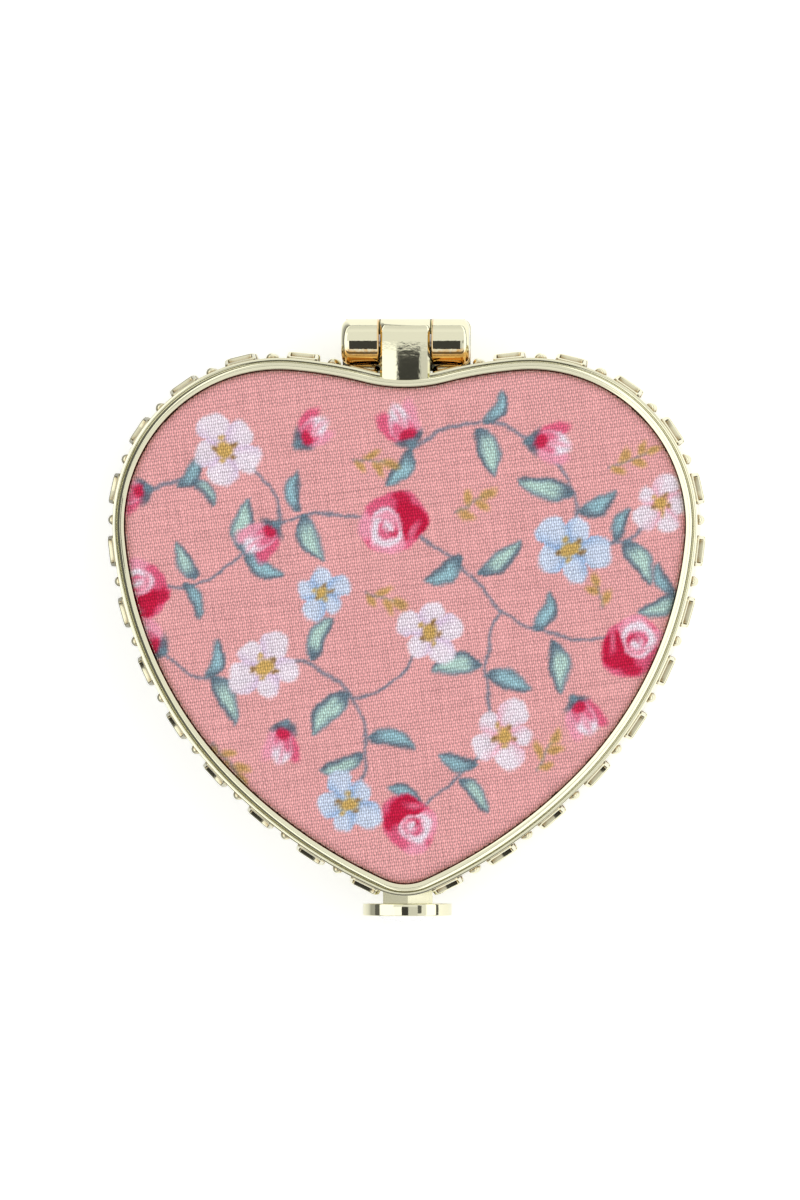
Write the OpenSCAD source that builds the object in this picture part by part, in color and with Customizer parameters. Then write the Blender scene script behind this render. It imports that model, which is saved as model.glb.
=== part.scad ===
// Heart-shaped trinket box: hinged lid with a padded fabric panel, lined tray, push-button catch.
// +Z is up, the hinge is at +Y and the push button at -Y. Millimetres.

/* [Heart outline, along the edge of the fabric panel] */
// Radius of the rounded tip
tip_r = 5.8; // [5.6:0.1:6.4]
// Turn of the outline round each half of the tip, in degrees
tip_turn = 24.3; // [22:0.1:26]
// Radius of the lower side
low_side_r = 58.8; // [52:0.1:66]
// Turn of the outline along the lower side, in degrees
low_side_turn = 21; // [19:0.1:22.5]
// Radius of the upper side
high_side_r = 45; // [40:0.1:50]
// Turn of the outline along the upper side, in degrees
high_side_turn = 39.7; // [38:0.1:41]
// Radius of the lobe's shoulder
lobe_r = 18.2; // [17:0.1:20]
// Turn of the outline round the shoulder, in degrees
lobe_turn = 99.7; // [98:0.1:101]
// Radius of the nearly flat top of each lobe
top_r = 52; // [46:0.1:60]
// Radius of the hollow between the lobes
notch_r = 19; // [16:0.1:22]

/* [Frames] */
// Height of the base frame
base_h = 10.2; // [9.8:0.1:13]
// Height of the lid frame
lid_h = 6; // [5.8:0.1:8]
// Gap between the closed frames
part_gap = 0.2; // [0.1:0.05:0.3]
// Thickness of a frame's wall
wall_t = 0.95; // [0.85:0.05:1.2]
// Width of the rounded bezel
bezel_w = 0.7; // [0.5:0.05:0.8]
// Size of the step that softens the bezel's edges
bezel_edge = 0.15; // [0.1:0.05:0.2]
// Depth of the groove between the bezel and the gallery strip
groove_h = 0.7; // [0.5:0.05:0.9]
// Reach of the inner ledge that carries the panels
ledge_w = 1.6; // [1.2:0.1:2]
// Thickness of the inner ledge
ledge_t = 0.8; // [0.6:0.1:1]

/* [Gallery strips] */
// Thickness of a gallery strip
strip_t = 0.4; // [0.35:0.05:0.6]
// How far a strip stays below the bezel
strip_drop = 0.15; // [0.05:0.05:0.3]
// Framed blocks on each half of a strip
blocks_per_side = 14; // [8:1:15]
// Distance from the tip or the notch to its nearest block, along the strip
end_space = 5.5; // [5:0.1:6.5]
// Length of a block
block_len = 3.7; // [2.8:0.1:4]
// Height of a block on the lid
block_h = 3; // [2.4:0.1:3.2]
// Height of a block on the base
base_block_h = 5; // [4:0.1:5.6]
// How far a block stands out of its strip
block_out = 0.5; // [0.4:0.05:0.7]
// How much further a block stands out at its edge by the lid's gap than at its middle
block_flare = 0.35; // [0.1:0.05:0.4]
// Width of the raised border of a block
block_rim = 0.65; // [0.5:0.05:0.8]
// Depth of the hollow in a block
block_hollow = 0.35; // [0.2:0.05:0.4]
// Radius of a bead
bead_r = 0.62; // [0.5:0.02:0.7]
// Height of a bead
bead_h = 1; // [0.8:0.05:1.15]
// Distance between the beads of a stack
bead_step = 1.3; // [1.25:0.05:1.4]

/* [Panels] */
// Thickness of the panel fabric
cloth_t = 0.35; // [0.25:0.05:0.5]
// Thickness of the padding under the fabric
pad_t = 0.9; // [0.8:0.1:1.2]
// Thickness of the card that the fabric is stretched on
board_t = 0.8; // [0.6:0.1:1]
// How far the fabric lies below the bezel at its edge
cloth_drop = 0.45; // [0.3:0.05:0.6]
// Thickness of the mirror
mirror_t = 1; // [0.8:0.1:1.2]
// Gap round a panel in its frame
panel_gap = 0.12; // [0.08:0.02:0.2]

/* [Tray] */
// Thickness of the lined tray
liner_t = 0.7; // [0.5:0.1:1]
// How far the tray's walls stay below the rim of the base
liner_drop = 0.3; // [0.2:0.1:0.6]
// Length of the catch's compartment, from the tip
catch_room = 9.8; // [9.6:0.1:12]

/* [Hinge] */
// Radius of the knuckles
knuckle_r = 2.7; // [2.5:0.05:2.8]
// Width of the middle knuckle, which is the strap of the lid
strap_w = 5.8; // [5:0.1:7]
// Width of each outer knuckle
outer_knuckle_w = 4.4; // [4:0.1:5]
// Gap between two knuckles
knuckle_gap = 0.2; // [0.15:0.05:0.3]
// Radius of the rounded outer ends
knuckle_round = 1; // [0.6:0.1:1.3]
// Distance from the bottom of the hollow between the lobes to the hinge's axis
hinge_back = 5.3; // [5.2:0.1:6]
// How far the knuckles stay below the top of the lid
hinge_drop = 0.4; // [0.3:0.1:0.6]
// Radius of the hinge pin
pin_r = 0.9; // [0.7:0.05:1.1]
// Running clearance of the pin in the middle knuckle, on the radius
pin_play = 0.05; // [0.03:0.01:0.08]
// Thickness of the strap where it meets the lid
strap_t = 3.6; // [3:0.1:3.8]
// Free space between the lid and the outer knuckles
hinge_gap = 0.3; // [0.25:0.05:0.4]
// Height of the foot of the hinge bracket above the table
bracket_foot = 3.6; // [3:0.1:5]

/* [Push button] */
// Radius of the disc
disc_r = 5.25; // [5:0.05:5.6]
// Thickness of the disc
disc_t = 1.45; // [1.2:0.05:1.8]
// Height of the disc's centre above the table
disc_z = 7.6; // [7:0.1:8]
// Distance from the tip of the fabric panel to the back of the disc
disc_out = 2.3; // [2.2:0.05:2.6]
// Travel of the button
press = 0.65; // [0.4:0.05:0.7]
// Radius of the stone at its setting
stone_r = 3.9; // [3.4:0.1:4.2]
// Radius of the stone's flat table
stone_table_r = 1.5; // [1:0.1:2]
// How far the stone stands out of the disc
stone_out = 0.7; // [0.5:0.05:0.9]
// Depth of the stone's seat in the disc
stone_seat = 0.5; // [0.3:0.05:0.7]

/* [Catch] */
// Width of the slide
slide_w = 5.8; // [5:0.1:6]
// Thickness of the slide
slide_t = 1.4; // [1.2:0.1:1.6]
// Height of the slide's underside above the table
slide_z = 4.8; // [4.6:0.1:5.2]
// Clearance round the slide in its slot and guide
slide_play = 0.1; // [0.08:0.01:0.15]
// Width of the hook and the keeper
hook_w = 4; // [3.4:0.1:4.2]
// Thickness of the keeper's tongue and of the hook's post
hook_t = 0.7; // [0.6:0.05:0.8]
// Height of the keeper's lip and of the hook's nose
hook_nose = 0.8; // [0.6:0.05:0.9]
// Free space between the nose and the lip, along and across
hook_gap = 0.12; // [0.1:0.02:0.2]
// Distance from the wall of the tip to the keeper
keeper_back = 0.85; // [0.8:0.05:1]
// Length of the keeper's foot
keeper_foot = 1.7; // [1.6:0.1:2]
// Length of the slide behind the hook's post
slide_tail = 1.2; // [1.1:0.1:1.4]
// Radius of the spring
spring_r = 1; // [0.9:0.05:1.05]
// Wire radius of the spring
wire_r = 0.15; // [0.12:0.01:0.18]
// Turns of the spring
spring_turns = 5; // [4:1:6]
// Length of the spring with the button out
spring_len = 2.9; // [2.6:0.1:3]
// How far the spring's axis lies above the middle of the slide
spring_rise = 0.35; // [0.3:0.05:0.4]
// Thickness of the guide's side walls
guide_t = 1; // [0.8:0.1:1.1]
// Thickness of the guide's back wall
guide_back_t = 1.6; // [1.4:0.1:1.8]
// Distance from the wall of the tip to the guide
guide_start = 1.9; // [1.8:0.1:2.2]
// How far the guide's ears reach beyond its walls, to the screws
ear_reach = 1.1; // [1:0.1:1.3]
// Distance from the spring's fixed end to the screws of the ears
ear_place = 1.6; // [1.5:0.1:2]
// Rim of an ear round the screw's head
ear_rim = 0.2; // [0.15:0.05:0.3]
// Gap between the hook and the plate over it, and round the plate's window
plate_gap = 0.3; // [0.25:0.05:0.4]
// Thickness of the plate over the catch
plate_t = 0.6; // [0.5:0.05:0.7]
// Radius of the screws' shanks
screw_r = 0.45; // [0.35:0.05:0.5]
// Radius of the screws' heads
screw_head_r = 0.8; // [0.7:0.05:0.9]
// Height of the screws' heads
screw_head_h = 0.35; // [0.3:0.05:0.4]
// Depth of the plate's screws in the guide
screw_depth = 1.2; // [1:0.1:1.5]

/* [Hidden] */
// Length of a facet of the outline
facet_len = 1.3;
$fn = 96;
gold = [0.90, 0.86, 0.68];
far = 100;

// The outline is a chain of tangent arcs from the tip up the right side, and its mirror image.
radii = [tip_r, low_side_r, high_side_r, lobe_r, top_r];
given_turns = [tip_turn, low_side_turn, high_side_turn, lobe_turn];
function total(list, n) = n == 0 ? 0 : list[n - 1] + total(list, n - 1);
function heading(n) = total(given_turns, n);
steps_x = [for (i = [0:3]) radii[i] * (sin(heading(i + 1)) - sin(heading(i)))];
steps_y = [for (i = [0:3]) radii[i] * (cos(heading(i)) - cos(heading(i + 1)))];
// The last arc and the hollow meet where both run square to the line between their centres.
top_center_x = total(steps_x, 4) - top_r * sin(heading(4));
notch_turn = asin(top_center_x / (top_r + notch_r));
turns = concat(given_turns, [180 + notch_turn - heading(4)]);
heads = [for (i = [0:4]) heading(i)];
// Heights are counted from the tip first, and then shifted so that the whole box is centred on Y.
raw_center_y = [for (i = [0:4]) total(steps_y, i) + radii[i] * cos(heads[i])];
raw_notch_center_y = raw_center_y[4] + (top_r + notch_r) * cos(notch_turn);
raw_hinge_y = raw_notch_center_y - notch_r + hinge_back;
raw_front = -disc_out - disc_t - stone_out;
tip_y = -(raw_hinge_y + knuckle_r + raw_front) / 2;
centers = [for (i = [0:4]) [total(steps_x, i) - radii[i] * sin(heads[i]), tip_y + raw_center_y[i]]];
notch_center = [0, tip_y + raw_notch_center_y];
notch_y = notch_center.y - notch_r;

// Offsets from the fabric's edge, outwards, and how deep an ornament's root goes into its strip
strip_in = wall_t;
strip_out = wall_t + strip_t;
into_strip = strip_t * 0.7;

// Heights
lid_z = base_h + part_gap;
top_z = lid_z + lid_h;
lid_cloth_top = top_z - cloth_drop;
lid_board_z = lid_cloth_top - cloth_t - pad_t - board_t;
lid_ledge_z = lid_board_z - ledge_t;
mirror_z = lid_ledge_z - mirror_t;
base_board_z = cloth_drop + cloth_t + pad_t;
base_ledge_z = base_board_z + board_t;
floor_z = base_ledge_z + ledge_t;
base_pad_z = cloth_drop + cloth_t;

// Hinge
hinge_y = notch_y + hinge_back;
hinge_z = top_z - hinge_drop - knuckle_r;
half_strap = strap_w / 2;
outer_from = half_strap + knuckle_gap;
outer_to = outer_from + outer_knuckle_w;

// Catch
room_y = tip_y + catch_room;
disc_y = tip_y - disc_out;
keeper_y = tip_y + keeper_back;
lip_z = slide_z + slide_t + hook_gap;
nose_z = lip_z + hook_nose + hook_gap;
lip_end_y = keeper_y + 2 * hook_t;
post_y = lip_end_y + hook_gap + hook_t;
slide_end_y = post_y + hook_t + slide_tail;
guide_back_y = slide_end_y + spring_len;
guide_from_y = tip_y + guide_start;
guide_half = slide_w / 2 + slide_play + guide_t;
plate_z = nose_z + hook_nose + plate_gap;
spring_z = slide_z + slide_t / 2 + spring_rise;
seat_pin_r = spring_r - 3 * wire_r;
cover_screw_x = guide_half - guide_back_t / 2;
cover_screw_y = guide_back_y + guide_back_t / 2;
cover_screw_z = plate_z - screw_depth;
screw_x = guide_half + ear_reach;
screw_y = guide_back_y - ear_place;

// Half the length of the outline at an offset, the arcs' lengths and the place at a distance from the tip
function arc_len(i, d) = i < 5 ? (radii[i] + d) * turns[i] * PI / 180 : (notch_r - d) * notch_turn * PI / 180;
function run(i, d) = i == 0 ? 0 : run(i - 1, d) + arc_len(i - 1, d);
function on_arc(s, d, i) = i == 5 || s < run(i + 1, d) ? i : on_arc(s, d, i + 1);
function place(s, d) =
    let (i = on_arc(s, d, 0), t = (s - run(i, d)) * 180 / PI)
    i < 5
    ? let (a = heads[i] - 90 + t / (radii[i] + d))
        [centers[i].x + (radii[i] + d) * cos(a), centers[i].y + (radii[i] + d) * sin(a), a]
    : let (a = notch_turn - 90 - t / (notch_r - d))
        [(notch_r - d) * cos(a), notch_center.y + (notch_r - d) * sin(a), a + 180];
half_run = run(6, strip_out);
block_pitch = (half_run - 2 * end_space) / (blocks_per_side - 1);

// Points of the outline at an offset: the right side from the tip to the hollow, then its mirror image
function fan(center, r, from, turn, steps) =
    [for (k = [0:steps - 1]) center + r * [cos(from + turn * k / steps), sin(from + turn * k / steps)]];
function facets(r, turn) = ceil(r * turn * PI / 180 / facet_len);
function right_side(d) = [
    for (i = [0:4])
        each fan(centers[i], radii[i] + d, heads[i] - 90, turns[i], facets(radii[i], turns[i])),
    each fan(notch_center, notch_r - d, notch_turn - 90, -notch_turn, facets(notch_r, notch_turn))
];
function outline(d) =
    let (points = right_side(d), last = len(points) - 1)
    concat(
        points,
        [[0, notch_y + d]],
        [for (k = [last:-1:1]) [-points[k].x, points[k].y]]
    );

// The filled outline at an offset
module heart(d) {
    polygon(outline(d));
}

module plate(d, z, t) {
    translate([0, 0, z]) linear_extrude(t) heart(d);
}

module ring(inner, outer, z, top) {
    translate([0, 0, z])
        linear_extrude(top - z)
            difference() {
                heart(outer);
                heart(inner);
            }
}

// A frame with its bezel at the top: wall, ledge, groove, and bezel with its softened edges.
// The ledge's opening starts behind the given Y.
module frame(height, ledge, open_from) {
    ring(0, wall_t, 0, ledge);
    translate([0, 0, ledge])
        linear_extrude(ledge_t)
            difference() {
                heart(wall_t);
                intersection() {
                    heart(-ledge_w);
                    translate([-far / 2, open_from]) square([far, 2 * far]);
                }
            }
    ring(0, wall_t, ledge + ledge_t, height - groove_h);
    ring(0, bezel_w, height - groove_h, height - bezel_edge);
    ring(bezel_edge, bezel_w - bezel_edge, height - bezel_edge, height);
}

// A block of the gallery: it stands out along X, further below than above, and has a hollow face.
module block(height) {
    rounding = 0.7;
    low_reach = block_out + block_flare;
    high_reach = block_out - block_flare;
    difference() {
        intersection() {
            translate([-into_strip, 0, 0])
                rotate([90, 0, 90])
                    linear_extrude(into_strip + low_reach) rounded(block_len, height, rounding);
            translate([0, block_len / 2, 0])
                rotate([90, 0, 0])
                    linear_extrude(block_len)
                        polygon([
                            [-into_strip, -height / 2],
                            [low_reach, -height / 2],
                            [high_reach, height / 2],
                            [-into_strip, height / 2]
                        ]);
        }
        translate([block_out, 0, 0])
            rotate([0, -atan(2 * block_flare / height), 0])
                translate([-block_hollow, 0, 0])
                    rotate([90, 0, 90])
                        linear_extrude(1)
                            rounded(block_len - 2 * block_rim, height - 2 * block_rim, rounding / 2);
    }
}

module rounded(w, h, r) {
    square([w - 2 * r, h], center = true);
    square([w, h - 2 * r], center = true);
    for (x = [-1, 1])
        for (y = [-1, 1])
            translate([x * (w / 2 - r), y * (h / 2 - r)]) circle(r, $fn = 24);
}

// Beads one above the other. They start inside the strip, and stand out along X.
module bead_stack(count) {
    for (n = [0:count - 1])
        translate([0, 0, (n - (count - 1) / 2) * bead_step - bead_h / 2])
            linear_extrude(bead_h)
                intersection() {
                    circle(bead_r, $fn = 24);
                    translate([-into_strip, -bead_r]) square(2 * bead_r);
                }
}

// A gallery strip of a given height with its blocks and beads. Its upper edge is by the bezel.
module gallery(height, block_height, beads) {
    strip_h = height - strip_drop;
    middle = strip_h / 2;
    ring(strip_in, strip_out, 0, strip_h);
    for (side = [0, 1])
        mirror([side, 0, 0]) {
            for (n = [0:blocks_per_side - 1])
                at_strip(end_space + n * block_pitch, middle) block(block_height);
            for (n = [0:blocks_per_side - 2])
                at_strip(end_space + (n + 0.5) * block_pitch, middle) bead_stack(beads);
        }
}

module at_strip(s, z) {
    p = place(s, strip_out);
    translate([p.x, p.y, z]) rotate(p.z) children();
}

// The space that the strap takes through the lid's gallery strip, and the turning space of the knuckles
module hinge_space() {
    translate([-half_strap, hinge_y - 2 * hinge_back, -1]) cube([strap_w, 2 * hinge_back, far]);
    translate([-outer_to - hinge_gap, hinge_y, hinge_z])
        rotate([0, 90, 0]) cylinder(r = knuckle_r + hinge_gap, h = 2 * (outer_to + hinge_gap));
}

module knuckle(from, to, bore) {
    difference() {
        translate([from, hinge_y, hinge_z])
            rotate([0, 90, 0])
                rotate_extrude()
                    difference() {
                        union() {
                            square([knuckle_r, to - from - knuckle_round]);
                            square([knuckle_r - knuckle_round, to - from]);
                            translate([knuckle_r - knuckle_round, to - from - knuckle_round])
                                circle(knuckle_round, $fn = 32);
                        }
                        square([bore, far]);
                        translate([0, -far]) square(far);
                    }
    }
}

module lid_frame() {
    color(gold)
        translate([0, 0, lid_z]) frame(lid_h, lid_ledge_z - lid_z, -far);
}

module lid_gallery() {
    color(gold)
        difference() {
            translate([0, 0, lid_z]) gallery(lid_h, block_h, 2);
            hinge_space();
        }
}

module lid_cover() {
    color([0.87, 0.63, 0.63]) plate(-panel_gap, lid_cloth_top - cloth_t, cloth_t);
}

module lid_pad() {
    color("white") plate(-2 * panel_gap, lid_board_z + board_t, pad_t);
}

module lid_board() {
    color("tan") plate(-panel_gap, lid_board_z, board_t);
}

module mirror_tape() {
    color("ivory") plate(-ledge_w - panel_gap, lid_ledge_z, ledge_t);
}

module mirror_glass() {
    color("lightblue")
        difference() {
            plate(-panel_gap, mirror_z, mirror_t);
            keeper_space(2 * panel_gap);
        }
}

// Room for the keeper's foot in the mirror's tip
module keeper_space(gap) {
    translate([-hook_w / 2 - gap, tip_y - 1, lid_z])
        cube([hook_w + 2 * gap, 1 + keeper_back + hook_t + keeper_foot + gap, lid_h]);
}

module hinge_strap() {
    color(gold)
        difference() {
            union() {
                translate([-half_strap, hinge_y, hinge_z])
                    rotate([0, 90, 0]) cylinder(r = knuckle_r, h = strap_w);
                translate([-half_strap, notch_y, hinge_z + knuckle_r - strap_t])
                    cube([strap_w, hinge_back, strap_t]);
            }
            translate([0, 0, lid_z]) linear_extrude(lid_h - groove_h) heart(wall_t);
            translate([0, 0, top_z - groove_h]) linear_extrude(lid_h) heart(bezel_w);
            translate([-strap_w, hinge_y, hinge_z])
                rotate([0, 90, 0]) cylinder(r = pin_r + pin_play, h = 2 * strap_w);
        }
}

module keeper() {
    foot_z = lid_ledge_z;
    color("silver")
        difference() {
            union() {
                translate([-hook_w / 2, keeper_y, lip_z]) cube([hook_w, hook_t, foot_z - lip_z]);
                translate([-hook_w / 2, keeper_y, lip_z]) cube([hook_w, 2 * hook_t, hook_nose]);
                translate([-hook_w / 2, keeper_y, foot_z - hook_t])
                    cube([hook_w, hook_t + keeper_foot, hook_t]);
            }
            keeper_rivet_holes();
        }
}

module keeper_rivet_holes() {
    for (x = [-1, 1])
        translate([x * hook_w / 4, keeper_y + hook_t + keeper_foot / 2, lid_z])
            cylinder(r = screw_r, h = lid_h);
}

module keeper_rivets() {
    color("silver")
        for (x = [-1, 1])
            translate([x * hook_w / 4, keeper_y + hook_t + keeper_foot / 2, lid_ledge_z - hook_t]) {
                cylinder(r = screw_r, h = hook_t);
                translate([0, 0, -screw_head_h]) cylinder(r = screw_head_r, h = screw_head_h);
            }
}

module base_frame() {
    color(gold)
        difference() {
            translate([0, 0, base_h]) mirror([0, 0, 1]) frame(base_h, base_h - floor_z, room_y);
            slide_slot();
            guide_screw_holes();
        }
}

module slide_slot() {
    translate([-slide_w / 2 - slide_play, disc_y, slide_z - slide_play])
        cube([slide_w + 2 * slide_play, disc_out + ledge_w, slide_t + 2 * slide_play]);
}

module base_gallery() {
    color(gold)
        difference() {
            translate([0, 0, base_h]) mirror([0, 0, 1]) gallery(base_h, base_block_h, 3);
            slide_slot();
            bracket_foot_block();
        }
}

module base_cover() {
    color([0.87, 0.63, 0.63]) plate(-panel_gap, cloth_drop, cloth_t);
}

module base_pad() {
    color("white") plate(-2 * panel_gap, base_pad_z, pad_t);
}

module base_board() {
    color("tan") plate(-panel_gap, base_board_z, board_t);
}

module tray_liner() {
    behind_catch = room_y + panel_gap;
    color([0.45, 0.1, 0.15])
        difference() {
            intersection() {
                plate(-panel_gap, floor_z, base_h - liner_drop - floor_z);
                translate([-far / 2, behind_catch, 0]) cube(far);
            }
            intersection() {
                plate(-panel_gap - liner_t, floor_z + liner_t, base_h);
                translate([-far / 2, behind_catch + liner_t, 0]) cube(far);
            }
        }
}

// The foot of the hinge bracket behind the base, with its lower edge rounded
module bracket_foot_block() {
    front = hinge_y - 2 * knuckle_r;
    back = hinge_y + knuckle_r;
    top = base_h - part_gap / 2;
    rounding = 1.6;
    translate([-outer_to, 0, 0])
        rotate([90, 0, 90])
            linear_extrude(2 * outer_to) {
                translate([front, bracket_foot]) square([back - rounding - front, top - bracket_foot]);
                translate([back - 2 * rounding, bracket_foot + rounding])
                    square([2 * rounding, top - bracket_foot - rounding]);
                translate([back - rounding, bracket_foot + rounding]) circle(rounding);
            }
}

module hinge_bracket() {
    arm_front = knuckle_r - 0.5;
    color(gold)
        difference() {
            union() {
                for (side = [0, 1])
                    mirror([side, 0, 0]) {
                        knuckle(outer_from, outer_to, pin_r);
                        translate([outer_from, hinge_y - arm_front, base_h - 1])
                            cube([outer_knuckle_w - knuckle_round / 2, knuckle_r + arm_front, hinge_z - base_h + 1]);
                    }
                bracket_foot_block();
            }
            plate(strip_in, 0, base_h);
            translate([-far / 2, hinge_y, hinge_z]) rotate([0, 90, 0]) cylinder(r = pin_r, h = far);
        }
}

module hinge_pin() {
    color("silver")
        translate([-outer_to, hinge_y, hinge_z])
            rotate([0, 90, 0]) cylinder(r = pin_r, h = 2 * outer_to);
}

module latch_guide() {
    channel_half = slide_w / 2 + slide_play;
    ear_r = screw_head_r + ear_rim;
    color("silver")
        difference() {
            union() {
                translate([-guide_half, guide_from_y, floor_z])
                    cube([2 * guide_half, guide_back_y + guide_back_t - guide_from_y, plate_z - floor_z]);
                translate([-screw_x - ear_r, screw_y - ear_r, floor_z])
                    cube([2 * (screw_x + ear_r), 2 * ear_r, guide_t]);
            }
            translate([-channel_half, tip_y, slide_z - slide_play])
                cube([2 * channel_half, guide_back_y - tip_y, far]);
            guide_screw_holes();
            cover_screw_holes();
        }
}

module guide_screw_holes() {
    for (x = [-1, 1])
        translate([x * screw_x, screw_y, base_ledge_z - 1]) cylinder(r = screw_r, h = base_h);
}

module guide_screws() {
    color("silver")
        for (x = [-1, 1])
            translate([x * screw_x, screw_y, 0]) {
                translate([0, 0, base_ledge_z]) cylinder(r = screw_r, h = floor_z + guide_t - base_ledge_z);
                translate([0, 0, floor_z + guide_t]) cylinder(r = screw_head_r, h = screw_head_h);
            }
}

module latch_cover() {
    color("silver")
        difference() {
            intersection() {
                plate(-panel_gap, plate_z, plate_t);
                translate([-far / 2, tip_y, 0]) cube([far, catch_room, far]);
            }
            translate([-hook_w / 2 - plate_gap, tip_y - ledge_w, 0])
                cube([hook_w + 2 * plate_gap, post_y + hook_t + press + plate_gap - tip_y + ledge_w, far]);
            cover_screw_holes();
        }
}

module cover_screw_holes() {
    for (x = [-1, 1])
        translate([x * cover_screw_x, cover_screw_y, cover_screw_z]) cylinder(r = screw_r, h = far);
}

module cover_screws() {
    color("silver")
        for (x = [-1, 1])
            translate([x * cover_screw_x, cover_screw_y, 0]) {
                translate([0, 0, cover_screw_z]) cylinder(r = screw_r, h = plate_z + plate_t - cover_screw_z);
                translate([0, 0, plate_z + plate_t]) cylinder(r = screw_head_r, h = screw_head_h);
            }
}

// Things on the button's axis are drawn along Z and laid along -Y.
module on_button_axis() {
    translate([0, disc_y, disc_z]) rotate([90, 0, 0]) children();
}

module button_disc() {
    edge = 0.2;
    color(gold)
        on_button_axis()
            rotate_extrude()
                difference() {
                    union() {
                        square([disc_r - edge, disc_t]);
                        translate([0, edge]) square([disc_r, disc_t - 2 * edge]);
                    }
                    translate([0, disc_t - stone_seat]) square([stone_r, disc_t]);
                }
}

module button_stone() {
    color([0.95, 0.95, 0.97, 0.7])
        on_button_axis()
            translate([0, 0, disc_t - stone_seat]) {
                cylinder(r = stone_r, h = stone_seat, $fn = 12);
                translate([0, 0, stone_seat]) cylinder(r1 = stone_r, r2 = stone_table_r, h = stone_out, $fn = 12);
            }
}

module latch_slide() {
    color("silver") {
        translate([-slide_w / 2, disc_y, slide_z]) cube([slide_w, slide_end_y - disc_y, slide_t]);
        translate([-hook_w / 2, post_y, slide_z]) cube([hook_w, hook_t, nose_z + hook_nose - slide_z]);
        translate([-hook_w / 2, post_y - hook_t, nose_z]) cube([hook_w, hook_t, hook_nose]);
        translate([0, slide_end_y, spring_z])
            rotate([-90, 0, 0]) cylinder(r = seat_pin_r, h = spring_len - press - hook_gap);
    }
}

module button_spring() {
    pitch = (spring_len - 2 * wire_r) / spring_turns;
    mid_r = spring_r - wire_r;
    color("silver")
        translate([0, slide_end_y, spring_z])
            rotate([-90, 0, 0])
                rotate_extrude() {
                    for (n = [0:spring_turns])
                        translate([mid_r, wire_r + n * pitch]) circle(wire_r, $fn = 16);
                    translate([mid_r - wire_r / 3, wire_r]) square([wire_r * 2 / 3, spring_turns * pitch]);
                }
}

lid_frame();
lid_gallery();
lid_cover();
lid_pad();
lid_board();
mirror_tape();
mirror_glass();  // mirror
hinge_strap();
keeper();
keeper_rivets();
base_frame();
base_gallery();
base_cover();
base_pad();
base_board();
tray_liner();
hinge_bracket();
hinge_pin();
latch_guide();
guide_screws();
latch_cover();
cover_screws();
button_disc();
button_stone();
latch_slide();
button_spring();
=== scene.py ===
import math

import bmesh
import bpy
import numpy as np
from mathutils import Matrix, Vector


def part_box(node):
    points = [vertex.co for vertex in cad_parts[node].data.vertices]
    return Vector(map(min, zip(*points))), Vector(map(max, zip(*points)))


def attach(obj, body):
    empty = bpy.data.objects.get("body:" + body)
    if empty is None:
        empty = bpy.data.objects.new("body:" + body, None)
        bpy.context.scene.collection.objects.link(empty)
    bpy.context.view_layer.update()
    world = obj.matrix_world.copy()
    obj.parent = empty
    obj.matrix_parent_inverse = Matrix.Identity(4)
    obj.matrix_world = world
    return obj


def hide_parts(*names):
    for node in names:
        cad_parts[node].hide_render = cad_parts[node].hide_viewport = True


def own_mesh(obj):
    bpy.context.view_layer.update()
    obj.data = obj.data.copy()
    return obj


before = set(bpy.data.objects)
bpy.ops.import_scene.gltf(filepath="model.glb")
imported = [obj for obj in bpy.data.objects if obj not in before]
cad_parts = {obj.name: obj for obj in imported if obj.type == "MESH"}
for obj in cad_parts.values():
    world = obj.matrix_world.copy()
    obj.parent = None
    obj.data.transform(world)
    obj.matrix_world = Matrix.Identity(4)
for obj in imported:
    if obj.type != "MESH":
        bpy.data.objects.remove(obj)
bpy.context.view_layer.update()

mm = 0.001  # lengths below are in mm, colours in sRGB; the heart's tip points to -Y
scene = bpy.context.scene
print("frame loaded:", len(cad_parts), "nodes")


def box(node):
    low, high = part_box(node)
    return np.array(low) / mm, np.array(high) / mm


heart = {
    "radii": [5.8, 58.8, 45.0, 18.2, 52.0],  # tip, two sides, shoulder, top of the lobe
    "turns": [24.3, 21.0, 39.7, 99.7],  # degrees of the first four
    "hollow": 19.0,  # radius between the lobes
    "panelGap": 0.12,  # from the cloth's edge to the bezel
    "step": 0.3,  # between two stations of a swept piece
    "coarseStep": 0.8,
    "fineStep": 0.15,
}


# the heart's right half from tip to notch, each arc as centre, radius, start, turn, and 1 or -1 for its outer side
def arcChain():
    radii, turns = heart["radii"], list(heart["turns"])
    heads = [sum(turns[:i]) for i in range(5)]
    x = y = 0.0
    centers = []
    for i in range(5):
        here = math.radians(heads[i])
        centers.append((x - radii[i] * math.sin(here), y + radii[i] * math.cos(here)))
        if i < 4:
            there = math.radians(heads[i + 1])
            x += radii[i] * (math.sin(there) - math.sin(here))
            y += radii[i] * (math.cos(here) - math.cos(there))
    reach = radii[4] + heart["hollow"]
    turn = math.asin(centers[4][0] / reach)
    turns.append(180 + math.degrees(turn) - heads[4])
    tip = box("lid_cover")[0][1] - heart["panelGap"]
    chain = [(cx, cy + tip, r, h - 90, t, 1) for (cx, cy), r, h, t in zip(centers, radii, heads, turns)]
    notch = tip + centers[4][1] + reach * math.cos(turn)
    chain.append((0.0, notch, heart["hollow"], math.degrees(turn) - 90, -math.degrees(turn), -1))
    return chain


arcs = arcChain()
tipY = arcs[0][1] - arcs[0][2]
notchY = arcs[5][1] - arcs[5][2]


def stations(step=heart["step"]):
    rows = []
    for cx, cy, r, start, turn, side in arcs:
        count = max(2, math.ceil(r * math.radians(abs(turn)) / step))
        for k in range(count):
            a = math.radians(start + turn * k / count)
            rows.append((cx, cy, r, side, math.cos(a), math.sin(a)))
    rows.append((0.0, arcs[5][1], arcs[5][2], -1, 0.0, -1.0))
    right = np.array(rows)
    left = right[1:-1][::-1] * (-1, 1, 1, 1, -1, 1)
    return np.vstack([right, left])


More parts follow.
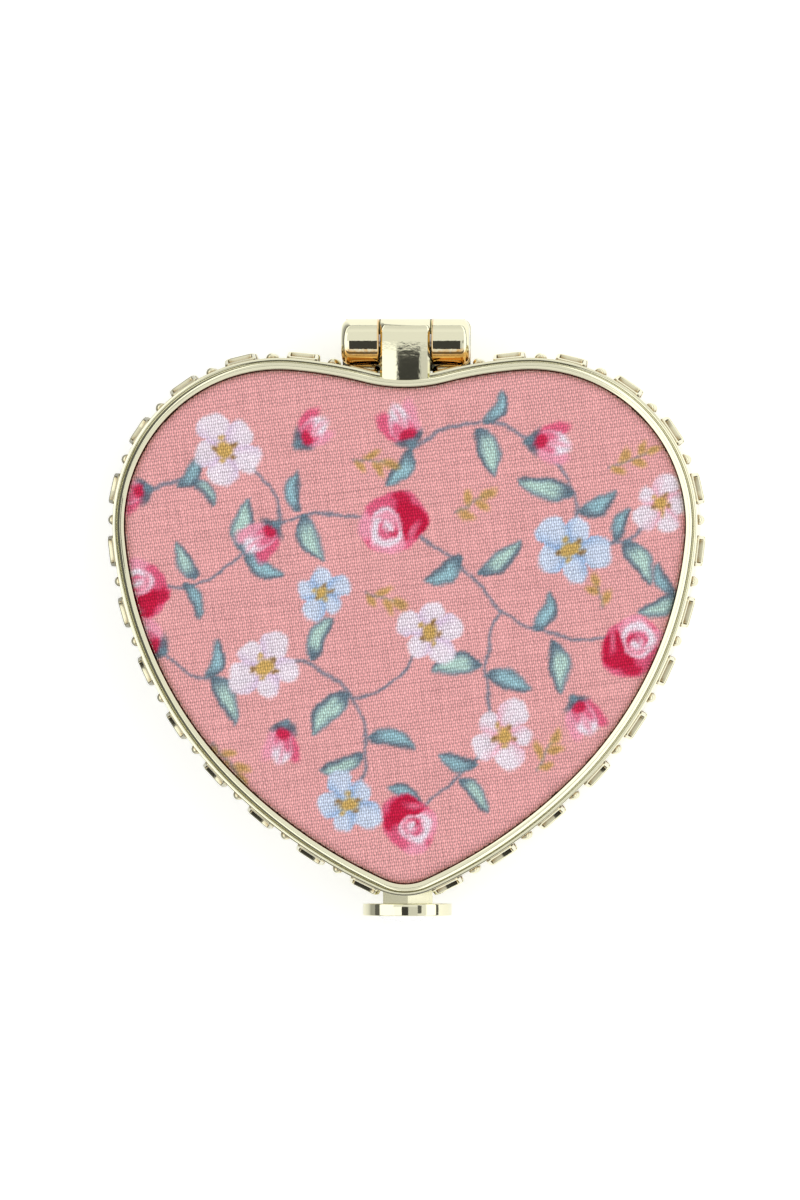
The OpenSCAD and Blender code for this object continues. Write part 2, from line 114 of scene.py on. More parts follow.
def ringAt(rows, offset):
    r = rows[:, 2] + rows[:, 3] * offset
    return np.stack([rows[:, 0] + r * rows[:, 4], rows[:, 1] + r * rows[:, 5]], 1)


def placeAt(distance, offset):  # point and outward angle at a distance from the tip
    for cx, cy, r, start, turn, side in arcs:
        radius = r + side * offset
        length = radius * math.radians(abs(turn))
        if distance <= length or side < 0:
            a = math.radians(start) + math.copysign(distance / radius, turn)
            return cx + radius * math.cos(a), cy + radius * math.sin(a), a + (0 if side > 0 else math.pi)
        distance -= length


def halfLength(offset):
    return sum((r + side * offset) * math.radians(abs(turn)) for cx, cy, r, start, turn, side in arcs)


def outlineGap(points):  # distance outside the outline, and the way out
    x, y = np.abs(points[:, 0]), points[:, 1]
    best = np.full(len(points), 1e9)
    normal = np.zeros((len(points), 2))
    for cx, cy, r, start, turn, side in arcs:
        dx, dy = x - cx, y - cy
        far = np.hypot(dx, dy) + 1e-9
        angle = np.degrees(np.arctan2(dy, dx)) - start
        angle = (angle if turn > 0 else -angle) % 360
        gap = side * (far - r)
        take = (angle <= abs(turn) + 1e-6) & (np.abs(gap) < np.abs(best))
        best = np.where(take, gap, best)
        normal[take] = (side * np.stack([dx, dy], 1) / far[:, None])[take]
    normal[:, 0] *= np.sign(points[:, 0])
    return best, normal


def addObject(name, mesh):
    obj = bpy.data.objects.new(name, mesh)
    scene.collection.objects.link(obj)
    return obj


def smooth(mesh, on=True):
    mesh.polygons.foreach_set("use_smooth", [on] * len(mesh.polygons))


def addMesh(name, verts, faces, sharp=35):
    mesh = bpy.data.meshes.new(name)
    mesh.from_pydata([tuple(v) for v in np.asarray(verts, float) * mm], [], faces)
    mesh.validate()
    work = bmesh.new()
    work.from_mesh(mesh)
    bmesh.ops.recalc_face_normals(work, faces=work.faces)
    work.to_mesh(mesh)
    work.free()
    smooth(mesh)
    mesh.set_sharp_from_angle(angle=math.radians(sharp))
    return addObject(name, mesh)


def rounded(points, segments=4):  # corners as x, y, radius
    out = []
    for i, (x, y, r) in enumerate(points):
        here = np.array([x, y], float)
        if r == 0:
            out.append(tuple(here))
            continue
        a = np.array(points[i - 1][:2]) - here
        b = np.array(points[(i + 1) % len(points)][:2]) - here
        a, b = a / np.linalg.norm(a), b / np.linalg.norm(b)
        half = math.acos(float(np.clip(a @ b, -1, 1))) / 2
        start, end = here + a * r / math.tan(half), here + b * r / math.tan(half)
        center = here + (a + b) / np.linalg.norm(a + b) * r / math.sin(half)
        for k in range(segments + 1):
            v = (start - center) * (1 - k / segments) + (end - center) * k / segments
            out.append(tuple(center + v * r / np.linalg.norm(v)))
    return out


def arcPoints(cx, cy, r, angles):  # angles in degrees
    return [(cx + r * math.cos(a), cy + r * math.sin(a)) for a in np.radians(angles)]


def level(ring, z):
    return np.column_stack([ring, np.full(len(ring), z)])


def loft(name, loops, closed=False, sharp=35):  # a skin over equal loops, capped unless it closes on itself
    count = len(loops[0])
    faces = []
    for j in range(len(loops) if closed else len(loops) - 1):
        k = (j + 1) % len(loops)
        for i in range(count):
            n = (i + 1) % count
            faces.append((j * count + i, j * count + n, k * count + n, k * count + i))
    if not closed:
        faces.append(tuple(range(count))[::-1])
        faces.append(tuple(range((len(loops) - 1) * count, len(loops) * count)))
    return addMesh(name, np.concatenate(loops), faces, sharp)


def sweep(name, profile):
    rows = stations()
    return loft(name, [level(ringAt(rows, outward), z) for outward, z in profile], closed=True)


def prism(name, outline, low, high):
    outline = np.asarray(outline, float)
    return loft(name, [level(outline, z) for z in (low, high)])


def block(name, low, high):
    (x0, y0, z0), (x1, y1, z1) = low, high
    return prism(name, [(x0, y0), (x1, y0), (x1, y1), (x0, y1)], z0, z1)


def lathe(name, profile, origin, axis, steps=96, sharp=35, closed=False):  # profile as radius, way along the axis
    loops = []
    for r, h in profile:
        ring = []
        for k in range(steps):
            a = 2 * math.pi * k / steps
            u, v = r * math.cos(a), r * math.sin(a)
            ring.append({"x": (h, u, v), "-x": (-h, u, v), "-y": (u, -h, v), "z": (u, v, h)}[axis])
        loops.append(np.array(ring) + origin)
    return loft(name, loops, closed, sharp)


def soften(obj, width, segments=3, least=40):  # rounds the edges that turn by more than least
    work = bmesh.new()
    work.from_mesh(obj.data)
    edges = [e for e in work.edges if len(e.link_faces) == 2 and math.degrees(e.calc_face_angle(0)) > least]
    bmesh.ops.bevel(work, geom=edges, offset=width * mm, segments=segments, profile=0.5,
                    affect="EDGES", clamp_overlap=True)
    work.to_mesh(obj.data)
    work.free()
    smooth(obj.data)
    obj.data.set_sharp_from_angle(angle=math.radians(35))
    return obj


def settled(obj):  # modifiers become plain mesh
    bpy.context.view_layer.update()
    shown = obj.evaluated_get(bpy.context.evaluated_depsgraph_get())
    mesh = bpy.data.meshes.new_from_object(shown)
    obj.modifiers.clear()
    old = obj.data
    obj.data = mesh
    bpy.data.meshes.remove(old)
    mesh.name = obj.name
    return obj


def sharpen(obj, angle=35):  # keeps the edges that are marked and marks more
    work = bmesh.new()
    work.from_mesh(obj.data)
    for edge in work.edges:
        if len(edge.link_faces) == 2 and edge.calc_face_angle(0) > math.radians(angle):
            edge.smooth = False
    for face in work.faces:
        face.smooth = True
    work.to_mesh(obj.data)
    work.free()


def cut(obj, *cutters):
    for cutter in cutters:
        mod = obj.modifiers.new("cut", "BOOLEAN")
        mod.operation = "DIFFERENCE"
        mod.solver = "EXACT"
        mod.object = cutter
        settled(obj)
        bpy.data.objects.remove(cutter)
    sharpen(obj)
    return obj


def joined(name, *parts):
    work = bmesh.new()
    for part in parts:
        work.from_mesh(part.data)
    mesh = bpy.data.meshes.new(name)
    work.to_mesh(mesh)
    work.free()
    for part in parts:
        bpy.data.objects.remove(part)
    obj = addObject(name, mesh)
    sharpen(obj)
    return obj


def piece(obj, body, slot, material, *nodes):
    obj.data.materials.clear()
    obj.data.materials.append(material)
    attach(obj, body)
    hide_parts(*nodes)
    return obj


def linear(color):
    srgb = np.clip(np.array(color, float) / 255, 0, 1)
    return np.where(srgb <= 0.04045, srgb / 12.92, ((srgb + 0.055) / 1.055) ** 2.4)


def newMaterial(name):
    material = bpy.data.materials.new(name)
    material.use_nodes = True
    tree = material.node_tree
    return material, tree, tree.nodes["Principled BSDF"]


def setSockets(shader, look):
    for socket, value in look.items():
        shader.inputs[socket].default_value = value


def mmCoords(tree):
    coords = tree.nodes.new("ShaderNodeTexCoord")
    size = tree.nodes.new("ShaderNodeVectorMath")
    size.operation = "SCALE"
    size.inputs["Scale"].default_value = 1 / mm
    tree.links.new(coords.outputs["Object"], size.inputs[0])
    return size.outputs[0]


def splitVector(tree, vector):
    split = tree.nodes.new("ShaderNodeSeparateXYZ")
    tree.links.new(vector, split.inputs[0])
    return split.outputs


def addNoise(tree, vector, scale, detail=2.0, output="Fac"):
    noise = tree.nodes.new("ShaderNodeTexNoise")
    noise.inputs["Scale"].default_value = scale
    noise.inputs["Detail"].default_value = detail
    tree.links.new(vector, noise.inputs["Vector"])
    return noise.outputs[output]


def addBump(tree, shader, height, distance):
    bump = tree.nodes.new("ShaderNodeBump")
    bump.inputs["Distance"].default_value = distance * mm
    tree.links.new(height, bump.inputs["Height"])
    tree.links.new(bump.outputs[0], shader.inputs["Normal"])


def addMath(tree, operation, *values):
    node = tree.nodes.new("ShaderNodeMath")
    node.operation = operation
    for socket, value in zip(node.inputs, values):
        if isinstance(value, (int, float)):
            socket.default_value = value
        else:
            tree.links.new(value, socket)
    return node.outputs[0]


def times(tree, *values):
    total = values[0]
    for value in values[1:]:
        total = addMath(tree, "MULTIPLY", total, value)
    return total


def addRange(tree, value, low, high, start=0.0, end=1.0):  # start to end becomes low to high
    node = tree.nodes.new("ShaderNodeMapRange")
    for label, number in (("From Min", start), ("From Max", end), ("To Min", low), ("To Max", high)):
        node.inputs[label].default_value = number
    tree.links.new(value, node.inputs["Value"])
    return node.outputs[0]


def addBlend(tree, factor, first, second):
    mix = tree.nodes.new("ShaderNodeMix")
    mix.data_type = "RGBA"
    mix.inputs[6].default_value = (*first, 1)
    mix.inputs[7].default_value = (*second, 1)
    tree.links.new(factor, mix.inputs[0])
    return mix.outputs[2]


def addChoice(tree, factor, first, second):  # for numbers
    mix = tree.nodes.new("ShaderNodeMix")
    mix.data_type = "FLOAT"
    for socket, value in zip((mix.inputs[0], mix.inputs[2], mix.inputs[3]), (factor, first, second)):
        if isinstance(value, (int, float)):
            socket.default_value = value
        else:
            tree.links.new(value, socket)
    return mix.outputs[0]


goldLook = {
    "color": (233, 230, 200),
    "roughness": 0.05,
    "unevenness": 0.004,  # height of the casting's waves
    "waves": 0.9,  # per mm
    "corner": (150, 118, 52),  # painted shade in narrow corners
    "cornerShadeReach": 0.8,
    "cornerShadeRange": (0.5, 0.95),  # how open a place is where the painted shade is darkest, and where it ends
    "hidden": 0.75,  # roughness of the catch's plates
    "slide": 0.2,  # roughness of the catch's slide
}


def metal(name, color, roughness, waves, height):
    material, tree, shader = newMaterial(name)
    shader.inputs["Base Color"].default_value = (*linear(color), 1)
    shader.inputs["Metallic"].default_value = 1.0
    vector = mmCoords(tree)
    scuffs = addRange(tree, addNoise(tree, vector, waves * 7), roughness - 0.01, roughness + 0.02)
    tree.links.new(scuffs, shader.inputs["Roughness"])
    addBump(tree, shader, addNoise(tree, vector, waves, 4.5), height)
    return material


def goldPlate(name, roughness=goldLook["roughness"], waves=goldLook["waves"], height=goldLook["unevenness"]):
    return metal(name, goldLook["color"], roughness, waves, height)


def shadeCorners(material):  # paints shade into the plating's colour where a place is narrow
    tree = material.node_tree
    corner = tree.nodes.new("ShaderNodeAmbientOcclusion")
    corner.samples = 8
    corner.only_local = True
    corner.inputs["Distance"].default_value = goldLook["cornerShadeReach"] * mm
    # painted shade: darker where the ambient occlusion finds the place narrow
    unshaded = addRange(tree, corner.outputs["AO"], 0.0, 1.0, *goldLook["cornerShadeRange"])
    color = addBlend(tree, unshaded, linear(goldLook["corner"]), linear(goldLook["color"]))
    tree.links.new(color, tree.nodes["Principled BSDF"].inputs["Base Color"])
    return material


def soft(name, color, grain, height, roughness=0.9, mottle=0.12):
    material, tree, shader = newMaterial(name)
    noise = addNoise(tree, mmCoords(tree), grain, 4.0)
    dark, light = (np.clip(linear(color) * (1 + share), 0, 1) for share in (-mottle, mottle))
    tree.links.new(addBlend(tree, noise, dark, light), shader.inputs["Base Color"])
    shader.inputs["Roughness"].default_value = roughness
    addBump(tree, shader, noise, height)
    return material


gold = goldPlate("gold")
galleryGold = shadeCorners(goldPlate("galleryGold"))
innerGold = goldPlate("innerGold", goldLook["hidden"])
steel = metal("steel", (196, 196, 198), 0.3, 3.0, 0.002)
foam = soft("foam", (236, 232, 222), 6.0, 0.1)
card = soft("card", (176, 150, 118), 3.0, 0.03)
tape = soft("tape", (232, 230, 224), 2.0, 0.02)
print("metals, foam and card made")

clothLook = {
    "lidGrid": 0.2,  # spacing of the mesh that carries the print
    "baseGrid": 0.26,
    "lidFace": 0.05,  # from the solid's face in to the cloth
    "baseFace": 0.2,
    "crown": 0.3,  # rise over the pad
    "crownReach": 5.0,
    "edgeDrop": 0.5,
    "edgeReach": 1.0,
    "edgeShade": 0.22,  # how much darker the cloth is beside the bezel
    "shadeReach": 1.1,
    "skirtShade": 0.7,  # of the cloth that is turned down
    "warpPitch": 0.25,
    "weftPitch": 0.38,
    "weaveTurn": 7.5,  # degrees
    "threadContrast": 0.29,
    "over": 0.7,  # share of the painted light and shade where threads pass over others
    "holes": (1.0, 0.6),  # share of the painted shade in the gaps between threads and highlight along them, across and along
    "patches": 1.4,  # how much the cloth differs from place to place
    "patchScale": 3.2,  # per mm
    "streaks": 1.3,  # how much one thread differs from the next
    "streakLength": 0.16,
    "pull": 0.35,  # how far threads stray from straight
    "pullScale": 1.6,
    "threadHeight": 0.012,
    "bleed": 0.05,  # how raggedly the ink sits on the threads
    "handDrawn": 0.16,  # how far the print's edges wander
    "ground": (233, 168, 168),
    "roughness": 0.85,
}


def clothMaterial():
    material, tree, shader = newMaterial("cloth")
    nodes, links, look = tree.nodes, tree.links, clothLook
    vector = mmCoords(tree)
    turn = nodes.new("ShaderNodeVectorRotate")
    turn.rotation_type = "Z_AXIS"
    turn.inputs["Angle"].default_value = -math.radians(look["weaveTurn"])
    links.new(vector, turn.inputs["Vector"])
    pull = nodes.new("ShaderNodeVectorMath")
    pull.operation = "MULTIPLY_ADD"
    pull.inputs[1].default_value = (look["pull"],) * 3
    links.new(addNoise(tree, vector, look["pullScale"], 2.0, "Color"), pull.inputs[0])
    links.new(turn.outputs[0], pull.inputs[2])
    place = splitVector(tree, pull.outputs[0])
    across = times(tree, place[0], math.pi / look["warpPitch"])
    along = times(tree, place[1], math.pi / look["weftPitch"])
    over = times(tree, addMath(tree, "SINE", across), addMath(tree, "SINE", along), look["over"])
    weave = over
    for threads, share in zip((across, along), look["holes"]):
        holes = times(tree, addMath(tree, "COSINE", times(tree, threads, 2.0)), share)
        weave = addMath(tree, "SUBTRACT", weave, holes)
    uneven = addMath(tree, "SUBTRACT", addNoise(tree, vector, look["patchScale"], 3.0), 0.5)
    uneven = times(tree, uneven, look["patches"])
    reach = look["streakLength"]
    for stretch in ((1 / look["warpPitch"], reach, 1), (reach, 1 / look["weftPitch"], 1)):
        threads = nodes.new("ShaderNodeMapping")
        threads.inputs["Scale"].default_value = stretch
        links.new(turn.outputs[0], threads.inputs["Vector"])
        streak = addMath(tree, "SUBTRACT", addNoise(tree, threads.outputs[0], 1.0, 1.0), 0.5)
        uneven = addMath(tree, "ADD", uneven, times(tree, streak, look["streaks"]))
    # painted highlights and shade of the weave, with the threads' own uneven tone
    light = addMath(tree, "ADD", times(tree, addMath(tree, "ADD", weave, uneven), look["threadContrast"]), 1.0)
    # the print attribute also carries the painted shade beside the bezel
    paint = nodes.new("ShaderNodeAttribute")
    paint.attribute_name = "print"
    shade = nodes.new("ShaderNodeVectorMath")
    shade.operation = "SCALE"
    links.new(paint.outputs["Color"], shade.inputs[0])
    links.new(light, shade.inputs["Scale"])
    links.new(shade.outputs[0], shader.inputs["Base Color"])
    setSockets(shader, {"Roughness": look["roughness"], "Specular IOR Level": 0.2})
    addBump(tree, shader, weave, look["threadHeight"])
    return material


inks = {
    "stem": (134, 134, 148),
    "leafDark": (88, 104, 118),
    "leafEdge": (112, 138, 152),
    "mint": (186, 216, 206),
    "teal": (156, 196, 206),
    "white": (240, 229, 240),
    "lilac": (216, 186, 220),
    "sky": (208, 222, 244),
    "blue": (134, 168, 214),
    "ochre": (206, 168, 92),
    "umber": (150, 112, 62),
    "pink": (226, 96, 130),
    "rose": (242, 160, 182),
    "crimson": (196, 22, 62),
}


def turned(center, u, v, angle):  # a point that lies u, v from the centre in a frame turned by angle
    a = math.radians(angle)
    return center[0] + u * math.cos(a) - v * math.sin(a), center[1] + u * math.sin(a) + v * math.cos(a)


def within(value, most=1):
    return np.clip(value, 0, most)


class Painter:  # lays ink on the cloth's points, one stroke over another
    def __init__(self, points):
        x, y = points.T
        drift = np.stack([np.sin(0.9 * x + 1.3 * y) + 0.35 * np.sin(3.3 * x - 2.1 * y + 2),
                          np.sin(1.1 * y - 0.8 * x + 1) + 0.35 * np.sin(2.9 * x + 2.3 * y)], 1)
        ragged = np.random.default_rng(4).normal(0, clothLook["bleed"], points.shape)
        self.points = points + clothLook["handDrawn"] * drift + ragged
        self.color = np.tile(np.array(clothLook["ground"], float), (len(points), 1))

    def lay(self, index, cover, ink):
        cover = within(cover)[:, None]
        self.color[index] = self.color[index] * (1 - cover) + np.array(inks[ink], float) * cover

    def local(self, center, reach, angle):
        index = np.nonzero(np.abs(self.points - center).max(axis=1) < reach)[0]
        a = math.radians(angle)
        d = self.points[index] - center
        return index, d @ (math.cos(a), math.sin(a)), d @ (-math.sin(a), math.cos(a))

    def spot(self, center, long, wide, angle, ink, strength=1.0, blur=0.4, bite=0.0):
        index, u, v = self.local(center, max(long, wide) + 0.6, angle)
        cover = within((1 - np.hypot(u / long, v / wide)) * min(long, wide) / blur + 0.5)
        if bite:  # leaves a crescent on the far side
            inner = np.hypot((u + bite) / long, v / wide)
            cover = cover * within((inner - 0.93) * min(long, wide) / blur + 0.5)
        self.lay(index, strength * cover, ink)

    def stem(self, start, bend, end, width=0.13, strength=0.68):
        a, b, c = (np.array(k, float) for k in (start, bend, end))
        t = np.linspace(0, 1, 28)[:, None]
        path = (1 - t) ** 2 * a + 2 * t * (1 - t) * b + t**2 * c
        middle = path.mean(axis=0)
        index = self.local(middle, np.abs(path - middle).max() + 1, 0)[0]
        away = np.full(len(index), 1e9)
        spots = self.points[index]
        for p, q in zip(path[:-1], path[1:]):
            line = q - p
            along = within((spots - p) @ line / (line @ line))
            away = np.minimum(away, np.hypot(*(spots - p - along[:, None] * line).T))
        self.lay(index, strength * (1 - (away - width) / 0.2), "stem")

    def leaf(self, base, angle, length=6.0, ink="mint", bow=0.5):
        index, u, v = self.local(base, length + 1, angle)
        u, width = u / length, 0.4 * length
        v = v - bow * 4 * u * (1 - u)  # the midrib is bowed
        half = width * 1.25 * within(u) ** 0.62 * within(1 - u) ** 0.8
        edge = half - np.abs(v)
        span = (u > 0) & (u < 1)
        self.lay(index, within(edge / 0.5 + 0.4, 0.92) * span, "leafEdge")
        body = within((edge - 0.1) / 0.7) * within(u * 4.5 - 0.5) * span
        self.lay(index, body * within(1.25 - np.abs(v - 0.25) / width * 1.1), ink)
        self.lay(index, span * within(edge / 0.4) * within(1 - u * 4.5) * 0.9, "leafDark")
        self.lay(index, span * within(1 - np.abs(v) / 0.2) * within(0.9 - u * 1.5, 0.55), "leafEdge")
        rim = within(1 - np.abs(edge - 0.1) / 0.35) * within(-v * 3) * span
        self.lay(index, rim * 0.7, "leafDark")

    def flower(self, center, size, ink, shade, turn=0.0):
        index, u, v = self.local(center, 1.3 * size, turn)
        far = np.hypot(u, v) / size
        place = (np.arctan2(v, u) / (2 * math.pi) * 5) % 5  # five petals
        petal = np.floor(place)
        side = (place - petal - 0.5) * 2
        reach = (0.95 + 0.13 * np.sin(2.4 * petal + turn)) * (1 - 0.34 * np.abs(side) ** 2.4)
        cover = within((reach - far) * size / 0.45 + 0.5, 0.96)
        self.lay(index, cover, ink)
        seam = np.sin((1 - np.abs(side)) * math.radians(36)) * far * size
        inner = within(1.2 - far / reach)
        self.lay(index, cover * within(1 - seam / 0.42) * inner * 0.9, shade)
        self.lay(index, cover * within(side * 1.3 - 0.2) * within(far * 1.6 - 0.3, 0.5), shade)
        self.lay(index, cover * within(1 - far * 2.2) * 0.9, shade)
        streak = within(np.cos(side * 9) - 0.3) * within(0.8 - far)
        self.lay(index, cover * streak * 0.5, shade)
        self.spot(center, 0.25 * size, 0.2 * size, turn, "ochre", 0.95)
        for k in range(5):
            dot = turned(center, 0.3 * size, 0, turn + 72 * k + 20)
            self.spot(dot, 0.09 * size, 0.07 * size, turn, "ochre" if k % 2 else "umber", 0.85, 0.3)

    def rose(self, center, size, turn=0.0):
        for distance, angle, long, wide, tilt, ink, strength, bite in (
            (0.1, 180, 0.98, 0.84, 10, "pink", 0.96, 0), (0.42, 165, 0.62, 0.56, 160, "crimson", 0.95, 0),
            (0.5, 225, 0.46, 0.34, 50, "crimson", 0.85, 0), (0.5, 60, 0.5, 0.4, 140, "rose", 1, 0),
            (0.56, -20, 0.46, 0.36, 40, "rose", 1, 0), (0.5, -75, 0.44, 0.3, 0, "pink", 0.9, 0),
            (0.18, 30, 0.56, 0.46, 70, "white", 0.95, 0), (0.2, 20, 0.5, 0.4, 200, "rose", 0.95, 0.26),
            (0.16, 40, 0.36, 0.28, 20, "pink", 0.9, 0.2), (0.12, 80, 0.24, 0.18, 80, "crimson", 0.85, 0.12),
            (0.55, 10, 0.2, 0.1, 95, "white", 0.7, 0), (0.7, 140, 0.3, 0.1, 50, "rose", 0.6, 0),
        ):
            place = turned(center, distance * size, 0, turn + angle)
            self.spot(place, long * size, wide * size, turn + tilt, ink, strength, 0.4, bite * size)

    def bud(self, base, angle, size=5.0):
        for u, v, long, wide, tilt, ink, strength in (
            (0.5, 0.2, 0.42, 0.2, 22, "pink", 0.95), (0.5, -0.2, 0.42, 0.2, -22, "rose", 0.95),
            (0.52, 0, 0.42, 0.24, 0, "white", 0.95), (0.36, 0.08, 0.3, 0.13, 12, "pink", 0.85),
            (0.34, -0.12, 0.26, 0.1, -14, "pink", 0.8), (0.62, -0.02, 0.26, 0.05, 4, "rose", 0.9),
            (0.24, 0, 0.16, 0.17, 0, "crimson", 0.8), (0.1, 0.13, 0.2, 0.08, 55, "leafDark", 0.85),
            (0.1, -0.13, 0.2, 0.08, -55, "leafDark", 0.85), (0.04, 0, 0.12, 0.1, 0, "leafEdge", 0.9),
        ):
            place = turned(base, u * size, v * size, angle)
            self.spot(place, long * size, wide * size, angle + tilt, ink, strength)

    def sprig(self, base, angle, count=5, gap=1.15):
        self.stem(base, base, turned(base, gap * count, 0, angle), 0.08, 0.6)
        for n in range(count):
            side = (1 if n % 2 else -1) * (n < count - 1)
            place = turned(base, gap * (n + 0.8), 0.75 * side, angle)
            self.spot(place, 0.95, 0.5, angle + 48 * side, "ochre", 0.75)
            self.spot(place, 0.4, 0.18, angle + 48 * side, "umber", 0.4)


def paintPrint(points):
    painter = Painter(points)
    for start, bend, end in (
        ((-31, 5), (-24, 2), (-19, 8)), ((-19, 8), (-13, 14), (-5, 12)), ((-21, 20), (-15, 17), (-14.5, 11.6)),
        ((1, 20), (8, 26), (15, 21)), ((15, 21), (21, 17), (20, 10)), ((20, 10), (25, 7), (29, 12)),
        ((-1, 11), (7, 8), (11, 1)), ((11, 1), (18, -3), (25, -2)), ((11, 1), (8, -6), (11, -13)),
        ((-18, -5), (-11, -3), (-6, -9)), ((-6, -9), (-3, -15), (-6, -21)), ((-28, -4), (-23, -9), (-16, -6)),
        ((-6, -9), (0, -8), (2, -2)), ((11, -13), (7, -18), (1.6, -22)), ((-31, 15), (-26, 16), (-21, 20)),
    ):
        painter.stem(start, bend, end)
    for base, angle, *rest in (
        ((-19, 8), 82, 6.4), ((-19, 8), -28, 5.8, "teal", -0.5), ((-24.4, 5), 118, 5.0),
        ((-25.6, 4.6), -72, 4.6, "teal"),
        ((-12, 12.4), -64, 6.2, "mint", -0.5), ((-12.6, 12.6), 92, 4.8, "teal"), ((8.4, 22.6), -70, 6.4),
        ((9.4, 22.9), 62, 4.8, "teal", -0.5), ((19.6, 15), 165, 6.6), ((20.2, 12.6), 28, 5.2, "teal", -0.5),
        ((25.6, 9.4), -58, 6.2), ((24.6, 9.1), 66, 4.6, "teal"), ((8.6, 5.4), 40, 6.4, "mint", -0.5),
        ((6.8, 7.4), 214, 5.4, "teal"), ((15.2, -1.4), 68, 5.2, "teal", -0.5), ((17.4, -2.2), -84, 6.4),
        ((9.2, -5), 190, 6.2, "mint", -0.5), ((9.6, -6.4), -20, 5.6, "teal"), ((-11, -4.8), 66, 6.0),
        ((-6.4, -8.6), 226, 6.6, "mint", -0.5), ((-4.4, -13.4), -14, 6.0, "teal"), ((-4.8, -15.6), 200, 5.6),
        ((-22.4, -6.6), -66, 6.2), ((-23, -6.8), 76, 4.8, "teal", -0.5), ((6.4, -18.4), -52, 5.2),
        ((8.4, -16.8), 166, 4.6, "teal"), ((-26.6, 15.8), 52, 4.6, "teal", -0.5), ((-25, 16.6), -50, 4.2),
        ((1, 20), 232, 5.4, "teal"), ((2, -22), 150, 5.0, "teal", -0.5), ((32, 3), 206, 5.2),
        ((31.6, 3), 120, 4.4, "teal"),
    ):
        painter.leaf(base, angle, *rest)
    painter.rose((-1.6, 11.4), 4.1, 200)
    painter.rose((27, -3), 3.9, 30)
    painter.rose((-31, 4), 3.6, 110)
    painter.rose((0.6, -24), 3.5, 300)
    for center, size, ink, shade, turn in (
        ((-21, 20), 4.4, "white", "lilac", 12), ((19.4, 8.4), 4.5, "sky", "blue", 30),
        ((-6.6, -21.4), 3.9, "sky", "blue", 5), ((3, -1.4), 4.0, "white", "lilac", 50),
        ((-16.4, -5.4), 4.3, "white", "lilac", 28), ((11.6, -13.4), 4.1, "white", "rose", 33),
        ((30, 13.6), 3.6, "white", "rose", 40), ((-9.6, 3.2), 3.3, "sky", "blue", 60),
    ):
        painter.flower(center, size, ink, shade, turn)
    for base, angle, size in (
        ((14.4, 21), -4, 5.4), ((1, 20.4), 118, 5.6), ((-30, 15.4), 196, 5.0), ((-28, -3.6), 150, 5.2),
        ((-14.8, 11.4), 222, 5.4), ((19.6, -9), 300, 5.2), ((-14, -12), 262, 5.0), ((-12.6, 20.6), 40, 4.8),
    ):
        painter.bud(base, angle, size)
    for base, angle, count in (((24, 18), 20, 5), ((-4.6, 3.4), 340, 4), ((6, 12.6), 30, 4), ((-22.6, -14.4), 310, 5),
                               ((15.4, -17.4), 60, 4), ((-6, 19), 350, 4), ((23, 1.6), 100, 3)):
        painter.sprig(base, angle, count)
    return painter.color

def clothMesh(name, top, side, grid, lowEnd):
    look = clothLook
    low, high = box("lid_cover")
    xs = np.arange(math.floor(low[0] / grid) - 1, math.ceil(high[0] / grid) + 2) * grid
    ys = np.arange(math.floor(low[1] / grid) - 1, math.ceil(high[1] / grid) + 2) * grid
    gx, gy = np.meshgrid(xs, ys)
    points = np.stack([gx.ravel(), gy.ravel()], 1)
    gap, normal = outlineGap(points)
    gap = gap + heart["panelGap"]
    keep = (gap <= 0.5 * grid).reshape(gx.shape)
    j, i = np.nonzero(keep[:-1, :-1] & keep[1:, :-1] & keep[:-1, 1:] & keep[1:, 1:])
    cols = gx.shape[1]
    quads = np.stack([j * cols + i, j * cols + i + 1, (j + 1) * cols + i + 1, (j + 1) * cols + i], 1)
    used = np.unique(quads)
    lookup = np.full(len(points), -1)
    lookup[used] = np.arange(len(used))
    quads = lookup[quads]
    points, gap, normal = points[used], gap[used], normal[used]
    edge = np.abs(gap) < 0.72 * grid  # these move onto the outline
    points[edge] -= normal[edge] * gap[edge][:, None]
    depth = np.clip(-gap, 0, None)
    depth[edge] = 0
    rise = look["crown"] * (1 - np.exp(-depth / look["crownReach"]))
    roll = np.clip(1 - depth / look["edgeReach"], 0, 1)
    height = rise - look["edgeDrop"] * (1 - np.sqrt(np.clip(1 - roll**2, 0, 1)))
    verts = np.column_stack([points, top + side * height])
    # the border runs on downwards round the pad
    counts = {}
    for quad in quads.tolist():
        for a, b in zip(quad, quad[1:] + quad[:1]):
            counts[(a, b)] = counts.get((a, b), 0) + 1
    border = [(a, b) for (a, b) in counts if (b, a) not in counts]
    rim = sorted({v for ends in border for v in ends})
    below = {v: len(verts) + n for n, v in enumerate(rim)}
    skirt = np.array([[*verts[v][:2], lowEnd] for v in rim])
    faces = quads.tolist() + [[b, a, below[a], below[b]] for a, b in border]
    allVerts = np.concatenate([verts, skirt])
    mesh = bpy.data.meshes.new(name)
    mesh.from_pydata([tuple(v) for v in allVerts * mm], [], [face[::side] for face in faces])
    smooth(mesh)
    colors = paintPrint(allVerts[:, :2] * (side, 1))
    # painted shade beside the bezel and on the turned-down skirt, multiplied into the print attribute
    shade = 1 - look["edgeShade"] * np.clip(1 - depth / look["shadeReach"], 0, 1)
    shade = np.concatenate([shade, np.full(len(rim), look["skirtShade"])])
    values = linear(colors) * shade[:, None]
    paint = mesh.color_attributes.new("print", "FLOAT_COLOR", "POINT")
    paint.data.foreach_set("color", np.column_stack([values, np.ones(len(values))]).ravel().astype(np.float32))
    return addObject(name, mesh)


